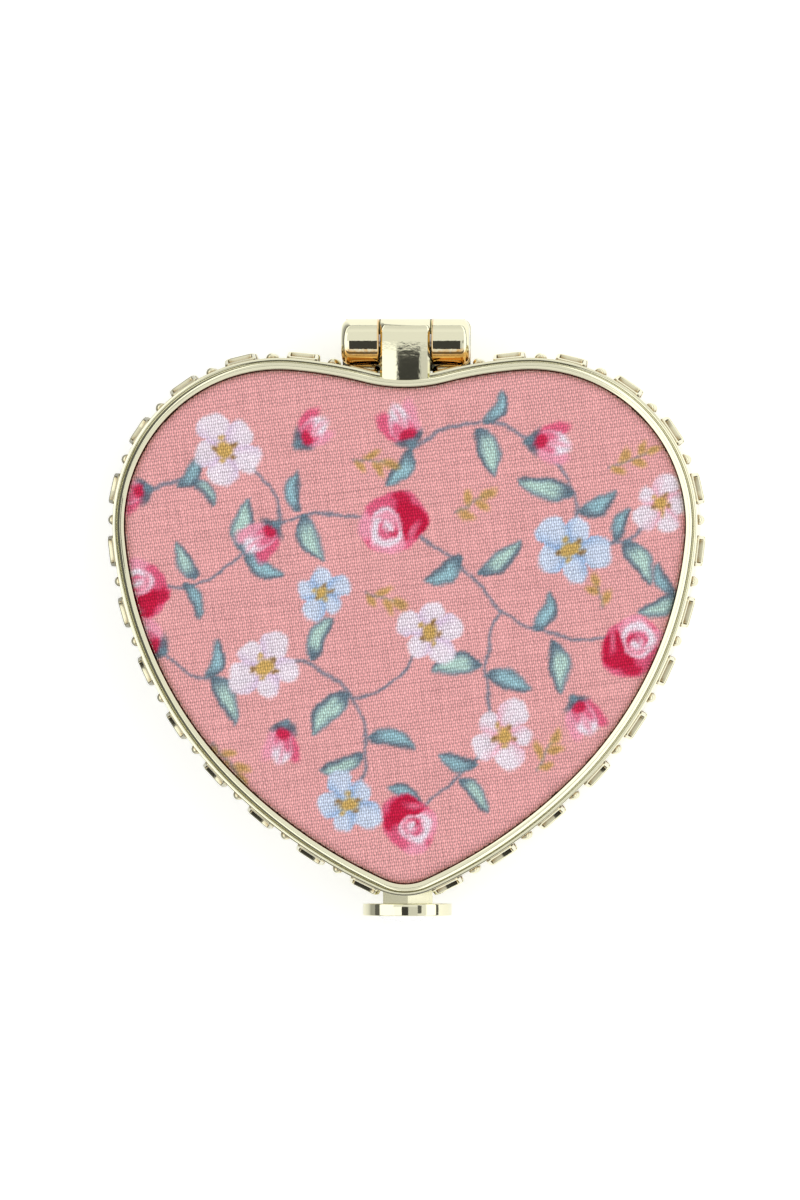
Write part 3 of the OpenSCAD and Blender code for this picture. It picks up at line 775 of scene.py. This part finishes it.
cloth = clothMaterial()
boardLow, boardHigh = box("lid_board")[0][2], box("base_board")[1][2]
lidFace, baseFace = box("lid_cover")[1][2], box("base_cover")[0][2]
lidCover = clothMesh("lidCover", lidFace - clothLook["lidFace"], 1, clothLook["lidGrid"], boardLow)
piece(lidCover, "lid", "printed_cotton", cloth, "lid_cover")
baseCover = clothMesh("baseCover", baseFace + clothLook["baseFace"], -1, clothLook["baseGrid"], boardHigh)
piece(baseCover, "base", "printed_cotton", cloth, "base_cover")
for cover, pad, turnedIn in (
    (lidCover, "lid_pad", lidFace - boardLow), (baseCover, "base_pad", boardHigh - baseFace),
):
    cutLine = ringAt(stations(), turnedIn - clothLook["edgeDrop"] - heart["panelGap"]) * mm
    x, y = cutLine.T
print("cloth made:", len(lidCover.data.polygons), "+", len(baseCover.data.polygons))

frameLook = {
    "wall": 0.95,  # outwards from the outline
    "bezel": 0.8,
    "crest": 0.45,  # the bezel's ridge, from the cloth's edge
    "innerFall": 0.19,
    "outerFall": 0.294,
    "groove": 0.7,
    "ledge": 1.6,
    "ledgeThick": 0.8,
    "plateEdge": 0.9,  # how far the plate behind the catch stays inside
    "slideGap": 0.1,
    "slotHeight": 1.5,
}
wall, bezel, crest, groove = (frameLook[key] for key in ("wall", "bezel", "crest", "groove"))
innerFall, outerFall, ledge = (frameLook[key] for key in ("innerFall", "outerFall", "ledge"))
lidLow, lidHigh = box("lid_frame")
ledgeLow, ledgeHigh = box("mirror_tape")[0][2], box("mirror_tape")[1][2]
lidTop, lidRim = lidHigh[2], lidLow[2]
lidFrame = sweep("lidFrame", rounded([
    (wall, lidRim, 0.1), (wall, lidTop - groove, 0.05), (bezel, lidTop - groove, 0.05),
    (bezel, lidTop - outerFall, 0.08), (crest, lidTop, 0.06), (0, lidTop - innerFall, 0.08), (0, ledgeHigh, 0.05),
    (-ledge, ledgeHigh, 0.1), (-ledge, ledgeLow, 0.1), (0, ledgeLow, 0.05), (0, lidRim, 0.15),
]))
piece(lidFrame, "lid", "gold_plate", gold, "lid_frame")

baseRim = box("base_frame")[1][2]
floorLow = box("base_board")[1][2]
floorHigh = floorLow + frameLook["ledgeThick"]
baseRing = sweep("baseRing", rounded([
    (wall, groove, 0.05), (wall, baseRim, 0.15), (0, baseRim, 0.1), (0, floorHigh, 0.05), (-ledge, floorHigh, 0.1),
    (-ledge, floorLow, 0.1), (0, floorLow, 0.05), (0, innerFall, 0.08), (crest, 0, 0.06), (bezel, outerFall, 0.08),
    (bezel, groove, 0.05),
]))
slideLow, slideHigh = box("latch_slide")


def slideSlot():  # through the wall at the tip
    gap = frameLook["slideGap"]
    return block("slot", (slideLow[0] - gap, tipY - 4, slideLow[2] - gap),
                 (slideHigh[0] + gap, tipY + 1.5, slideLow[2] + frameLook["slotHeight"]))


cut(baseRing, slideSlot())
tipRing = ringAt(stations(heart["coarseStep"]), -frameLook["plateEdge"])
plateOutline = tipRing[tipRing[:, 1] < box("tray_liner")[0][1] - heart["panelGap"]]
plateOutline = plateOutline[np.argsort(plateOutline[:, 0])]
basePlate = prism("basePlate", plateOutline, floorLow + 0.02, floorHigh - 0.02)
baseFrame = joined("baseFrame", baseRing, basePlate)
piece(baseFrame, "base", "gold_plate", gold, "base_frame")
print("frames made")

galleryLook = {
    "stripThick": 0.4,
    "stripDrop": 0.35,  # below the bezel's crest
    "stripFall": 0.12,
    "stripSlope": 0.24,
    "blocks": 14,  # on each half
    "lidBlock": 3.0,  # height
    "baseBlock": 5.0,
    "lidBeads": 2,
    "baseBeads": 3,
    "endSpace": 5.0,
    "blockLength": 3.7,
    "blockRound": 0.7,
    "blockOut": 0.5,
    "blockFlare": 0.35,
    "blockRim": 0.42,
    "hollowFloor": 0.04,  # above the strip
    "beadRadius": 0.62,
    "beadStep": 1.3,
    "irregular": 0.04,  # how much smaller a casting may be than the next
    "hingeGap": 0.15,  # round the knuckles
    "hingeEnds": 0.3,
}


def blockMesh(name, height, lean):  # a framed hollow that flares towards the lid's or the base's rim
    look = galleryLook
    rim, floor = look["blockRim"], look["hollowFloor"]

    def loop(inset, depth=0.0, highest=math.inf):
        r = max(look["blockRound"] - inset, 0.12)
        w, h = look["blockLength"] / 2 - inset, height / 2 - inset
        ring = rounded([(w, -h, r), (w, h, r), (-w, h, r), (-w, -h, r)], 5)
        out = [look["blockOut"] + lean * look["blockFlare"] * 2 * z / height - depth for y, z in ring]
        return np.array([(min(highest, x), y, z) for x, (y, z) in zip(out, ring)])

    loops = [
        loop(0, highest=-0.25), loop(0, 0.16), loop(0.05, 0.05), loop(0.16), loop(rim - 0.1), loop(rim - 0.03, 0.05),
        loop(rim + 0.04, 0.1, floor), loop(rim + 0.4, 0.1, floor),
    ]
    return loft(name, loops, sharp=8)


def beadMesh(name, count):
    look = galleryLook
    profile = []
    for n in range(count):
        middle = (n - (count - 1) / 2) * look["beadStep"]
        for k in range(-4, 5):
            a = math.radians(k * 19)
            profile.append((look["beadRadius"] * math.cos(a), middle + look["beadRadius"] * 0.98 * math.sin(a)))
    return lathe(name, profile, (0, 0, 0), "z", 16, 60)


def repeatGroup():  # puts blocks and beads on points that carry their turn and kind
    group = bpy.data.node_groups.new("repeatPieces", "GeometryNodeTree")
    nodes, links = group.nodes, group.links
    for label, kind in (("Geometry", "Geometry"), ("Block", "Object"), ("Beads", "Object"), ("Irregular", "Float"),
                        ("Material", "Material")):
        group.interface.new_socket(label, in_out="INPUT", socket_type="NodeSocket" + kind)
    group.interface.new_socket("Geometry", in_out="OUTPUT", socket_type="NodeSocketGeometry")
    start, end = nodes.new("NodeGroupInput"), nodes.new("NodeGroupOutput")

    def attribute(name, kind):
        node = nodes.new("GeometryNodeInputNamedAttribute")
        node.data_type = kind
        node.inputs["Name"].default_value = name
        return node.outputs[0]

    angle = nodes.new("ShaderNodeCombineXYZ")
    links.new(attribute("turn", "FLOAT"), angle.inputs["Z"])
    split = nodes.new("GeometryNodeSeparateGeometry")
    split.domain = "POINT"
    links.new(start.outputs["Geometry"], split.inputs[0])
    links.new(attribute("isBlock", "BOOLEAN"), split.inputs["Selection"])
    size = nodes.new("FunctionNodeRandomValue")
    size.data_type = "FLOAT"
    size.inputs["Max"].default_value = 1.0
    size.inputs["Seed"].default_value = 5
    least = addMath(group, "SUBTRACT", 1.0, start.outputs["Irregular"])
    links.new(least, [s for s in size.inputs if s.name == "Min" and s.type == "VALUE"][0])
    join = nodes.new("GeometryNodeJoinGeometry")
    for output, label in ((0, "Block"), (1, "Beads")):
        source = nodes.new("GeometryNodeObjectInfo")
        source.inputs["As Instance"].default_value = False
        links.new(start.outputs[label], source.inputs["Object"])
        put = nodes.new("GeometryNodeInstanceOnPoints")
        links.new(split.outputs[output], put.inputs["Points"])
        links.new(source.outputs["Geometry"], put.inputs["Instance"])
        links.new(angle.outputs[0], put.inputs["Rotation"])
        links.new([s for s in size.outputs if s.type == "VALUE"][0], put.inputs["Scale"])
        links.new(put.outputs[0], join.inputs[0])
    realize = nodes.new("GeometryNodeRealizeInstances")
    paint = nodes.new("GeometryNodeSetMaterial")
    links.new(join.outputs[0], realize.inputs[0])
    links.new(realize.outputs[0], paint.inputs["Geometry"])
    links.new(start.outputs["Material"], paint.inputs["Material"])
    links.new(paint.outputs[0], end.inputs[0])
    return group


repeatPieces = repeatGroup()


def ornaments(name, middle, height, lean, beads):  # blocks and beads in turn, from tip to notch on both halves
    look = galleryLook
    out = wall + look["stripThick"]
    pitch = (halfLength(out) - 2 * look["endSpace"]) / (look["blocks"] - 1)
    spots, turns, kinds = [], [], []
    for half in (1, -1):
        for n in range(2 * look["blocks"] - 1):
            x, y, a = placeAt(look["endSpace"] + n * pitch / 2, out)
            spots.append((x * half * mm, y * mm, middle * mm))
            turns.append(a if half > 0 else math.pi - a)
            kinds.append(n % 2 == 0)
    mesh = bpy.data.meshes.new(name)
    mesh.from_pydata(spots, [], [])
    mesh.attributes.new("turn", "FLOAT", "POINT").data.foreach_set("value", turns)
    mesh.attributes.new("isBlock", "BOOLEAN", "POINT").data.foreach_set("value", kinds)
    obj = addObject(name, mesh)
    blockPiece, beadPiece = blockMesh("blockPiece", height, lean), beadMesh("beadPiece", beads)
    mod = obj.modifiers.new("repeat", "NODES")
    mod.node_group = repeatPieces
    keys = {item.name: item.identifier for item in repeatPieces.interface.items_tree if item.in_out == "INPUT"}
    mod[keys["Block"]] = blockPiece
    mod[keys["Beads"]] = beadPiece
    mod[keys["Irregular"]] = look["irregular"]
    mod[keys["Material"]] = galleryGold
    settled(obj)
    for extra in (blockPiece, beadPiece):
        bpy.data.objects.remove(extra)
    return obj


strapLow, strapHigh = box("hinge_strap")
bracketLow, bracketHigh = box("hinge_bracket")
pinLow, pinHigh = box("hinge_pin")
hingeY, hingeZ = (pinLow[1] + pinHigh[1]) / 2, (pinLow[2] + pinHigh[2]) / 2
knuckleR = strapHigh[2] - hingeZ


def hingeRoom():  # the strap's slot and the space in which the knuckles turn
    slot = block("strapSlot", (strapLow[0], notchY - 1, lidRim - 1), (strapHigh[0], hingeY, lidTop + 1))
    half, radius = bracketHigh[0] + galleryLook["hingeEnds"], knuckleR + galleryLook["hingeGap"]
    return slot, lathe("turning", [(radius, -half), (radius, half)], (0, hingeY, hingeZ), "x", 64)


def stripMesh(name, seam, edge):  # from the seam between lid and base to the strip's own edge
    look, up = galleryLook, 1 if edge > seam else -1
    back, front = wall + 0.02, wall + look["stripThick"]
    return sweep(name, rounded([
        (front, seam, 0.12), (front, edge - up * look["stripFall"], 0.05), (front - look["stripSlope"], edge, 0.03),
        (back, edge - up * 0.03, 0.04), (back, seam, 0.05),
    ][::up], 3))


stripTop, stripBottom = lidTop - galleryLook["stripDrop"], galleryLook["stripDrop"]
lidStrip = cut(stripMesh("lidStrip", lidRim, stripTop), *hingeRoom())
lidBlocks = ornaments("lidBlocks", (lidRim + stripTop) / 2, galleryLook["lidBlock"], -1, galleryLook["lidBeads"])
cut(lidBlocks, *hingeRoom())
lidGallery = joined("lidGallery", lidStrip, lidBlocks)
piece(lidGallery, "lid", "gold_plate", galleryGold, "lid_gallery")

baseStrip = cut(stripMesh("baseStrip", baseRim, stripBottom), slideSlot())
baseBlocks = ornaments("baseBlocks", (baseRim + stripBottom) / 2, galleryLook["baseBlock"], 1,
                       galleryLook["baseBeads"])
baseGallery = joined("baseGallery", baseStrip, baseBlocks)
piece(baseGallery, "base", "gold_plate", galleryGold, "base_gallery")
print("galleries made")

hingeLook = {
    "bevel": 0.25,
    "strapDepth": 3.6,
    "crownRadius": 18.0,
    "crownAt": 0.75,
    "boreRadius": 0.95,
    "knuckleGap": 0.2,
    "knuckleEdge": 0.15,
    "knuckleRound": 1.0,
    "footCorner": 1.0,
    "footRound": 1.6,
    "waves": 2.2,
    "unevenness": 0.006,
    "warm": (224, 176, 104),  # painted reflected light, the warm bounce of gold in the bracket's corners
    "warmFrom": 0.7,  # in front of the pin
    "bounceNoiseShare": 1.2,
    "bounceNoiseScale": 2.2,
    "armEnd": 0.5,  # how far the arms stay inside the knuckles' ends
    "armDepth": 0.9,
}
strapBottom = strapHigh[2] - hingeLook["strapDepth"]
landing = math.degrees(math.asin((hingeZ - strapBottom) / knuckleR))
strapFront, strapStep = notchY + bezel + 0.02, notchY + wall + 0.02
strapProfile = [
    (strapStep, strapBottom), (strapStep, lidTop - groove), (strapFront, lidTop - groove + 0.02),
    (strapFront, strapHigh[2]), *arcPoints(hingeY, hingeZ, knuckleR, np.linspace(90, -180 + landing, 25)),
]
strapLoops = []
for x in np.linspace(strapLow[0], strapHigh[0], 25):
    fall = (x - hingeLook["crownAt"]) ** 2 / 2 / hingeLook["crownRadius"]
    edge = max(abs(x) - (strapHigh[0] - hingeLook["bevel"]), 0)
    fall += hingeLook["bevel"] - math.sqrt(hingeLook["bevel"] ** 2 - edge**2)
    strapLoops.append(np.array([(x, y, z - fall * max((z - hingeZ) / knuckleR, 0)) for y, z in strapProfile]))
hingeStrap = loft("hingeStrap", strapLoops, sharp=50)
bore = hingeLook["boreRadius"]
cut(hingeStrap, lathe("bore", [(bore, -5), (bore, 5)], (0, hingeY, hingeZ), "x", 48))
strapGold = goldPlate("strapGold", waves=hingeLook["waves"], height=hingeLook["unevenness"])
piece(hingeStrap, "lid", "gold_plate", strapGold, "hinge_strap")

pinR = (pinHigh[2] - pinLow[2]) / 2 + 0.01
outerFrom, outerTo = strapHigh[0] + hingeLook["knuckleGap"], bracketHigh[0]
edge, roundOff = hingeLook["knuckleEdge"], hingeLook["knuckleRound"]
knuckleProfile = [
    (pinR, outerFrom), (knuckleR - edge, outerFrom),
    *arcPoints(knuckleR - edge, outerFrom + edge, edge, [-68, -45, -22, 0]),
    (knuckleR, outerFrom + edge + 0.04), (knuckleR, outerTo - roundOff - 0.04),
    *arcPoints(knuckleR - roundOff, outerTo - roundOff, roundOff, range(0, 91, 15)),
    (pinR, outerTo),
]
armFront, armBack = hingeY - knuckleR + 0.5, hingeY + knuckleR - 0.02
footTop = baseRim - 0.1
parts = []
for side, axis in ((1, "x"), (-1, "-x")):
    parts.append(lathe("knuckle", knuckleProfile, (0, hingeY, hingeZ), axis, closed=True))
    left, right = sorted((side * outerFrom, side * (outerTo - hingeLook["armEnd"])))
    arm = block("arm", (left, armFront, footTop - hingeLook["armDepth"]), (right, armBack, hingeZ))
    parts.append(soften(arm, 0.1))
footRound, corner = hingeLook["footRound"], hingeLook["footCorner"]
footBack, footFront = bracketHigh[1], hingeY - 2 * knuckleR + 2
footSide = arcPoints(footBack - footRound, bracketLow[2] + footRound, footRound, [-90, -78, -65, -50, -35, -18, 0])
footLoops = []
for back, height in footSide + [(footBack, footTop)]:
    plan = [(-outerTo, footFront, 0), (outerTo, footFront, 0), (outerTo, back, corner), (-outerTo, back, corner)]
    footLoops.append(level(rounded(plan, 6), height))
foot = loft("foot", footLoops)
cut(foot, prism("wallSpace", ringAt(stations(heart["coarseStep"]), wall), -1, baseRim + 1))
hingeBracket = joined("hingeBracket", *parts, foot)


def warmGold():
    material, tree, shader = newMaterial("warmGold")
    look = hingeLook
    vector = mmCoords(tree)
    x, y, z = splitVector(tree, vector)
    # painted reflected light: warm gold in front of the pin and near the strap, on the parts above the foot
    bounceMottle = times(tree, addMath(tree, "SUBTRACT", addNoise(tree, vector, look["bounceNoiseScale"], 3.0), 0.5), look["bounceNoiseShare"])
    front = addMath(tree, "ADD", addMath(tree, "SUBTRACT", hingeY - look["warmFrom"], y), bounceMottle)
    ends = addMath(tree, "SUBTRACT", outerFrom + 0.25, addMath(tree, "ABSOLUTE", x))
    bounceLit = addMath(tree, "MAXIMUM", times(tree, front, 1.6), times(tree, ends, 4.0))
    raised = addMath(tree, "GREATER_THAN", z, footTop + 0.05)
    bounceLit = times(tree, addMath(tree, "MINIMUM", bounceLit, 1.0), raised)
    tree.links.new(addBlend(tree, bounceLit, linear(goldLook["color"]), linear(look["warm"])), shader.inputs["Base Color"])
    setSockets(shader, {"Metallic": 1.0, "Roughness": goldLook["roughness"]})
    addBump(tree, shader, addNoise(tree, vector, look["waves"], 4.0), look["unevenness"])
    return material


piece(hingeBracket, "base", "gold_plate", warmGold(), "hinge_bracket")
print("hinge made")

buttonLook = {
    "edge": 0.12,
    "rim": 0.35,  # gold round the stone
    "facets": 12,
    "crownShare": 0.76,
    "crownRise": 0.42,
    "tableRadius": 1.5,
    "stone": {"Base Color": (0.98, 0.98, 0.98, 1), "Metallic": 0.45, "Roughness": 0.04, "IOR": 1.6},
    "crease": 0.18,  # how far the neck folds down at both sides
}
discLow, discHigh = box("button_disc")
stoneLow, stoneHigh = box("button_stone")
discR, discZ = (discHigh[0] - discLow[0]) / 2, (discHigh[2] + discLow[2]) / 2
discBack, discThick = discHigh[1], discHigh[1] - discLow[1]
stoneR, seat = (stoneHigh[0] - stoneLow[0]) / 2, discHigh[1] - stoneHigh[1]
edge = buttonLook["edge"]
discProfile = [
    (0.01, 0), (discR - edge, 0),
    *arcPoints(discR - edge, edge, edge, range(-72, 1, 18)),
    *arcPoints(discR - edge, discThick - edge, edge, range(0, 91, 18)),
    (stoneR + buttonLook["rim"], discThick), (stoneR + 0.02, discThick - 0.12), (stoneR + 0.02, seat), (0.01, seat),
]
buttonDisc = lathe("buttonDisc", discProfile, (0, discBack, discZ), "-y")
piece(buttonDisc, "button", "gold_plate", gold, "button_disc")

steps = buttonLook["facets"]
stoneProfile = [
    (stoneR - 0.05, seat + 0.02), (stoneR, discThick),
    (stoneR * buttonLook["crownShare"], discThick + buttonLook["crownRise"]),
    (buttonLook["tableRadius"], discBack - stoneLow[1]),
]
stoneLoops = []
for n, (r, h) in enumerate(stoneProfile):
    angles = np.arange(steps) * 2 * math.pi / steps + max(n - 1, 0) * math.pi / steps
    ring = np.stack([r * np.cos(angles), np.full(steps, discBack - h), discZ + r * np.sin(angles)], 1)
    stoneLoops.append(ring)
stoneFaces = [tuple(range(steps)), tuple(range(3 * steps, 4 * steps))]
for i in range(steps):
    n = (i + 1) % steps
    stoneFaces.append((i, n, steps + n, steps + i))
    for low, high in ((steps, 2 * steps), (2 * steps, 3 * steps)):
        stoneFaces += [(low + i, low + n, high + i), (low + n, high + n, high + i)]
buttonStone = addMesh("buttonStone", np.concatenate(stoneLoops), stoneFaces, 3)
stone, _, shader = newMaterial("stone")
setSockets(shader, buttonLook["stone"])
piece(buttonStone, "button", "clear_stone", stone, "button_stone")
print("button made")

trayLook = {
    "wall": 0.7,
    "lipRound": 0.3,
    "lipEdge": 0.15,
    "floorRound": 0.6,
    "color": (128, 26, 46),
    "sheen": {"Sheen Weight": 0.6, "Sheen Roughness": 0.4},
}


def trayRing(offset, rise, count=420, across=60):  # the outline, cut straight across in front of the catch
    line = box("tray_liner")[0][1] + rise
    ring = ringAt(stations(heart["fineStep"]), offset)
    keep = ring[:, 1] > line
    first = int(np.argmax(keep))
    run = ring[first:first + keep[first:].argmin()]
    last = first + len(run) - 1

    def crossing(p, q):
        return p + (q - p) * (line - p[1]) / (q[1] - p[1])

    start, end = crossing(ring[first - 1], ring[first]), crossing(ring[last], ring[(last + 1) % len(ring)])
    path = np.vstack([start, run, end])
    length = np.concatenate([[0], np.cumsum(np.hypot(*np.diff(path, axis=0).T))])
    even = np.linspace(0, length[-1], count)
    curved = np.stack([np.interp(even, length, path[:, 0]), np.interp(even, length, path[:, 1])], 1)
    straight = np.stack([np.linspace(end[0], start[0], across + 2)[1:-1], np.full(across, line)], 1)
    return np.vstack([curved, straight])


linerLow, linerHigh = box("tray_liner")
inset = -heart["panelGap"]
thick, lip, bend = trayLook["wall"], trayLook["lipRound"], trayLook["floorRound"]
trayFloor = linerLow[2] + thick
trayProfile = [
    (0, linerLow[2]), (0, linerHigh[2] - lip), *arcPoints(lip, linerHigh[2] - lip, lip, [150, 120, 90]),
    (thick - trayLook["lipEdge"], linerHigh[2]), (thick, linerHigh[2] - trayLook["lipEdge"]),
    *arcPoints(thick + bend, trayFloor + bend, bend, [180, 202, 225, 248, 270]),
]
trayLiner = loft("trayLiner", [level(trayRing(inset - inward, inward), z) for inward, z in trayProfile], sharp=60)
velvet = soft("velvet", trayLook["color"], 9.0, 0.08, 0.95, 0.3)
setSockets(velvet.node_tree.nodes["Principled BSDF"], trayLook["sheen"])
piece(trayLiner, "base", "velvet", velvet, "tray_liner")

mirrorLook = {
    "bevel": 0.9,
    "bevelHeight": 0.45,
    "notchGap": 0.24,
    "glass": {"Metallic": 1.0, "Base Color": (0.86, 0.88, 0.88, 1), "Roughness": 0.02},
}
mirrorLow, mirrorHigh = box("mirror")
keeperLow, keeperHigh = box("keeper")
rows, gap = stations(), mirrorLook["notchGap"]
bevelTop = mirrorLow[2] + mirrorLook["bevelHeight"]
mirrorProfile = [(mirrorLook["bevel"], mirrorLow[2]), (0, bevelTop), (0, mirrorHigh[2])]
mirrorPlate = loft("mirrorPlate", [level(ringAt(rows, inset - inward), z) for inward, z in mirrorProfile], sharp=8)
cut(mirrorPlate, block("notch", (keeperLow[0] - gap, tipY - 1, mirrorLow[2] - 1),
                       (keeperHigh[0] + gap, keeperHigh[1] + gap, mirrorHigh[2] + 1)))
smooth(mirrorPlate.data, False)
mirrorGlass, _, shader = newMaterial("mirrorGlass")
setSockets(shader, mirrorLook["glass"])
piece(mirrorPlate, "lid", "mirror_glass", mirrorGlass, "mirror")

springLook = {"wire": 0.15, "coils": 5, "coilSteps": 28, "around": 8, "groundEnd": 0.9}
springLow, springHigh = box("button_spring")


def springMesh():  # open coils between two closed ends
    wire, coils, ground = springLook["wire"], springLook["coils"], springLook["groundEnd"]
    axisZ, coilR = (springLow[2] + springHigh[2]) / 2, (springHigh[0] - springLow[0]) / 2 - wire
    length = springHigh[1] - springLow[1] - 2 * wire
    steps = (coils + 2) * springLook["coilSteps"]
    loops = []
    for k in range(steps + 1):
        turns = k / steps * (coils + 2)
        along = max((turns - ground) / coils, 0.02 * min(turns, ground))
        along = min(along, 1 - 0.02 * min(coils + 2 - turns, 1))
        a = 2 * math.pi * turns
        out = np.array([math.cos(a), 0, math.sin(a)])
        center = coilR * out + (0, springLow[1] + wire + along * length, axisZ)
        loops.append(np.array([
            center + wire * (math.cos(b) * out + math.sin(b) * np.array([0, 1, 0]))
            for b in np.linspace(0, 2 * math.pi, springLook["around"], endpoint=False)
        ]))
    return loft("springWire", loops, sharp=60)


springWire = springMesh()
piece(springWire, "base", "spring_steel", steel, "button_spring")
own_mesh(springWire)

slideGold = goldPlate("slideGold", goldLook["slide"], height=0)
tree = slideGold.node_tree
acrossNeck = addMath(tree, "ABSOLUTE", splitVector(tree, mmCoords(tree))[0])
addBump(tree, tree.nodes["Principled BSDF"], times(tree, acrossNeck, buttonLook["crease"]), 1.0)

fittings = {
    "edge": 0.07,  # rounding of the metal ones
    "edgeSteps": 2,
    "plain": {"lid_pad": foam, "base_pad": foam, "lid_board": card, "base_board": card, "mirror_tape": tape,
              "hinge_pin": steel},
    "metal": {"keeper": steel, "keeper_rivets": gold, "latch_guide": innerGold, "guide_screws": steel,
              "latch_cover": innerGold, "cover_screws": steel, "latch_slide": slideGold},
}
for name, material in {**fittings["plain"], **fittings["metal"]}.items():
    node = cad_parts[name]
    node.data.materials.clear()
    node.data.materials.append(material)
    if name in fittings["metal"]:
        bevel = node.modifiers.new("edges", "BEVEL")
        bevel.width = fittings["edge"] * mm
        bevel.segments = fittings["edgeSteps"]
        bevel.limit_method = "ANGLE"
        bevel.angle_limit = math.radians(50)
print("tray, mirror and catch made")

floorLook = {
    "half": 2.0,  # metres
    "white": 0.9,
    "glow": 0.4,  # for the eye and for mirrors
    "mirroredShadeFrom": -12,  # painted shade on the floor lies to the left of this, for mirrors alone
    "mirroredShadeTo": -40,
    "mirroredShadeLevel": 0.35,
}
half, under = floorLook["half"], -0.1 * mm
floorMesh = bpy.data.meshes.new("floor")
floorMesh.from_pydata([(-half, -half, under), (half, -half, under), (half, half, under), (-half, half, under)], [],
                      [(0, 1, 2, 3)])
floor = addObject("floor", floorMesh)
floorPaint, tree, shader = newMaterial("floorPaint")
nodes, links = tree.nodes, tree.links
nodes.remove(shader)
rays = nodes.new("ShaderNodeLightPath").outputs
seen = addMath(tree, "MAXIMUM", addMath(tree, "MAXIMUM", rays["Is Camera Ray"], rays["Is Glossy Ray"]),
               rays["Is Transmission Ray"])
acrossFloor = splitVector(tree, mmCoords(tree))[0]
# painted shadow that only mirrors see, darker to the left
mirroredShade = addRange(tree, acrossFloor, floorLook["mirroredShadeLevel"], 1.0, floorLook["mirroredShadeTo"], floorLook["mirroredShadeFrom"])
shown = addChoice(tree, rays["Is Glossy Ray"], 1.0, mirroredShade)
white = nodes.new("ShaderNodeCombineColor")
for channel in ("Red", "Green", "Blue"):
    links.new(times(tree, shown, floorLook["white"]), white.inputs[channel])
plainFloor, glow, both = (nodes.new("ShaderNode" + kind) for kind in ("BsdfDiffuse", "Emission", "AddShader"))
links.new(white.outputs[0], plainFloor.inputs["Color"])
links.new(times(tree, seen, floorLook["glow"], shown), glow.inputs["Strength"])
links.new(plainFloor.outputs[0], both.inputs[0])
links.new(glow.outputs[0], both.inputs[1])
links.new(both.outputs[0], nodes["Material Output"].inputs["Surface"])
floorMesh.materials.append(floorPaint)

skyLook = {  # what the gold mirrors, as degrees from straight up and brightness; everything else gets plain light
    "plain": 0.84,
    "leftRight": [(-180, 0.13), (-75, 0.13), (-73, 1.5), (-36, 1.5), (-32, 0.94), (51, 0.94), (54, 1.6), (80.5, 1.6),
                  (82, 0.13)],
    "frontBack": [(-180, 0.9), (-66, 0.9), (-64, 0.2), (-52, 0.2), (-50, 0.9), (60, 1.0), (75, 0.85)],
    "frontBackFrom": 50,  # these show where the sky is low in front or behind, but not at the sides
    "sidesFrom": 60,
    "cards": [  # left, right, front, back, and the share of the light that one takes away or adds
        (-12.5, 4.5, -37, 5, -0.94), (4.5, 29, -37, 5, -0.22), (-34, -12.5, -37, 5, 0.5), (29, 39, -8, 8, -0.86),
    ],
}
world = bpy.data.worlds.new("studio")
scene.world = world
world.use_nodes = True
tree = world.node_tree
nodes, links = tree.nodes, tree.links
nodes["Background"].inputs["Color"].default_value = (1, 1, 1, 1)
direction = splitVector(tree, nodes.new("ShaderNodeTexCoord").outputs["Generated"])


def skyAngle(axis):
    return times(tree, addMath(tree, "ARCTAN2", direction[axis], direction["Z"]), 180 / math.pi)


def between(value, low, high):
    return times(tree, addMath(tree, "GREATER_THAN", value, low), addMath(tree, "LESS_THAN", value, high))


def bands(angle, stops):
    ramp = nodes.new("ShaderNodeValToRGB")
    links.new(addMath(tree, "MULTIPLY_ADD", angle, 1 / 360, 0.5), ramp.inputs["Fac"])
    points = ramp.color_ramp.elements
    points.remove(points[-1])
    points[0].position = 0.0
    points[0].color = (stops[0][1],) * 3 + (1,)
    for degrees, value in stops[1:]:
        points.new(degrees / 360 + 0.5).color = (value,) * 3 + (1,)
    return ramp.outputs[0]


sideways, lengthways = skyAngle("X"), skyAngle("Y")
frontLimit = skyLook["frontBackFrom"]
besides = addMath(tree, "MAXIMUM", between(lengthways, -frontLimit, frontLimit),
                  addMath(tree, "GREATER_THAN", addMath(tree, "ABSOLUTE", sideways), skyLook["sidesFrom"]))
sky = addChoice(tree, besides, bands(lengthways, skyLook["frontBack"]), bands(sideways, skyLook["leftRight"]))
share = 1.0
for left, right, front, back, change in skyLook["cards"]:
    cardLight = times(tree, between(sideways, left, right), between(lengthways, front, back), change)
    share = addMath(tree, "ADD", share, cardLight)
mirrored = nodes.new("ShaderNodeLightPath").outputs["Is Glossy Ray"]
light = addChoice(tree, mirrored, skyLook["plain"], times(tree, sky, share))
links.new(light, nodes["Background"].inputs["Strength"])

lampLook = {"size": 0.73, "watts": 1.2, "place": (0.5, 0.35, 0.8), "turn": (-25, 32, 0)}  # metres and degrees
lampData = bpy.data.lights.new("keyLamp", "AREA")
lampData.shape = "DISK"
lampData.size = lampLook["size"]
lampData.energy = lampLook["watts"]
lamp = addObject("keyLamp", lampData)
lamp.location = lampLook["place"]
lamp.rotation_euler = [math.radians(angle) for angle in lampLook["turn"]]
lamp.visible_glossy = False

cameraLook = {
    "lens": 769.5,
    "distance": 3.0,  # metres above the lid
    "aim": (-0.55, 2.4, 16.4),
    "lean": 2.0,  # degrees that it stands to the right
}
cameraData = bpy.data.cameras.new("camera")
cameraData.sensor_fit = "AUTO"
cameraData.sensor_width = 36
cameraData.lens = cameraLook["lens"]
cameraData.clip_start = 0.5
cameraData.clip_end = 10
camera = addObject("camera", cameraData)
lean = math.radians(cameraLook["lean"])
camera.location = [at * mm + cameraLook["distance"] * way
                   for at, way in zip(cameraLook["aim"], (math.sin(lean), 0, math.cos(lean)))]
camera.rotation_euler = (0, lean, 0)
scene.camera = camera
scene.view_settings.view_transform = "Standard"
print("room, light and camera made")
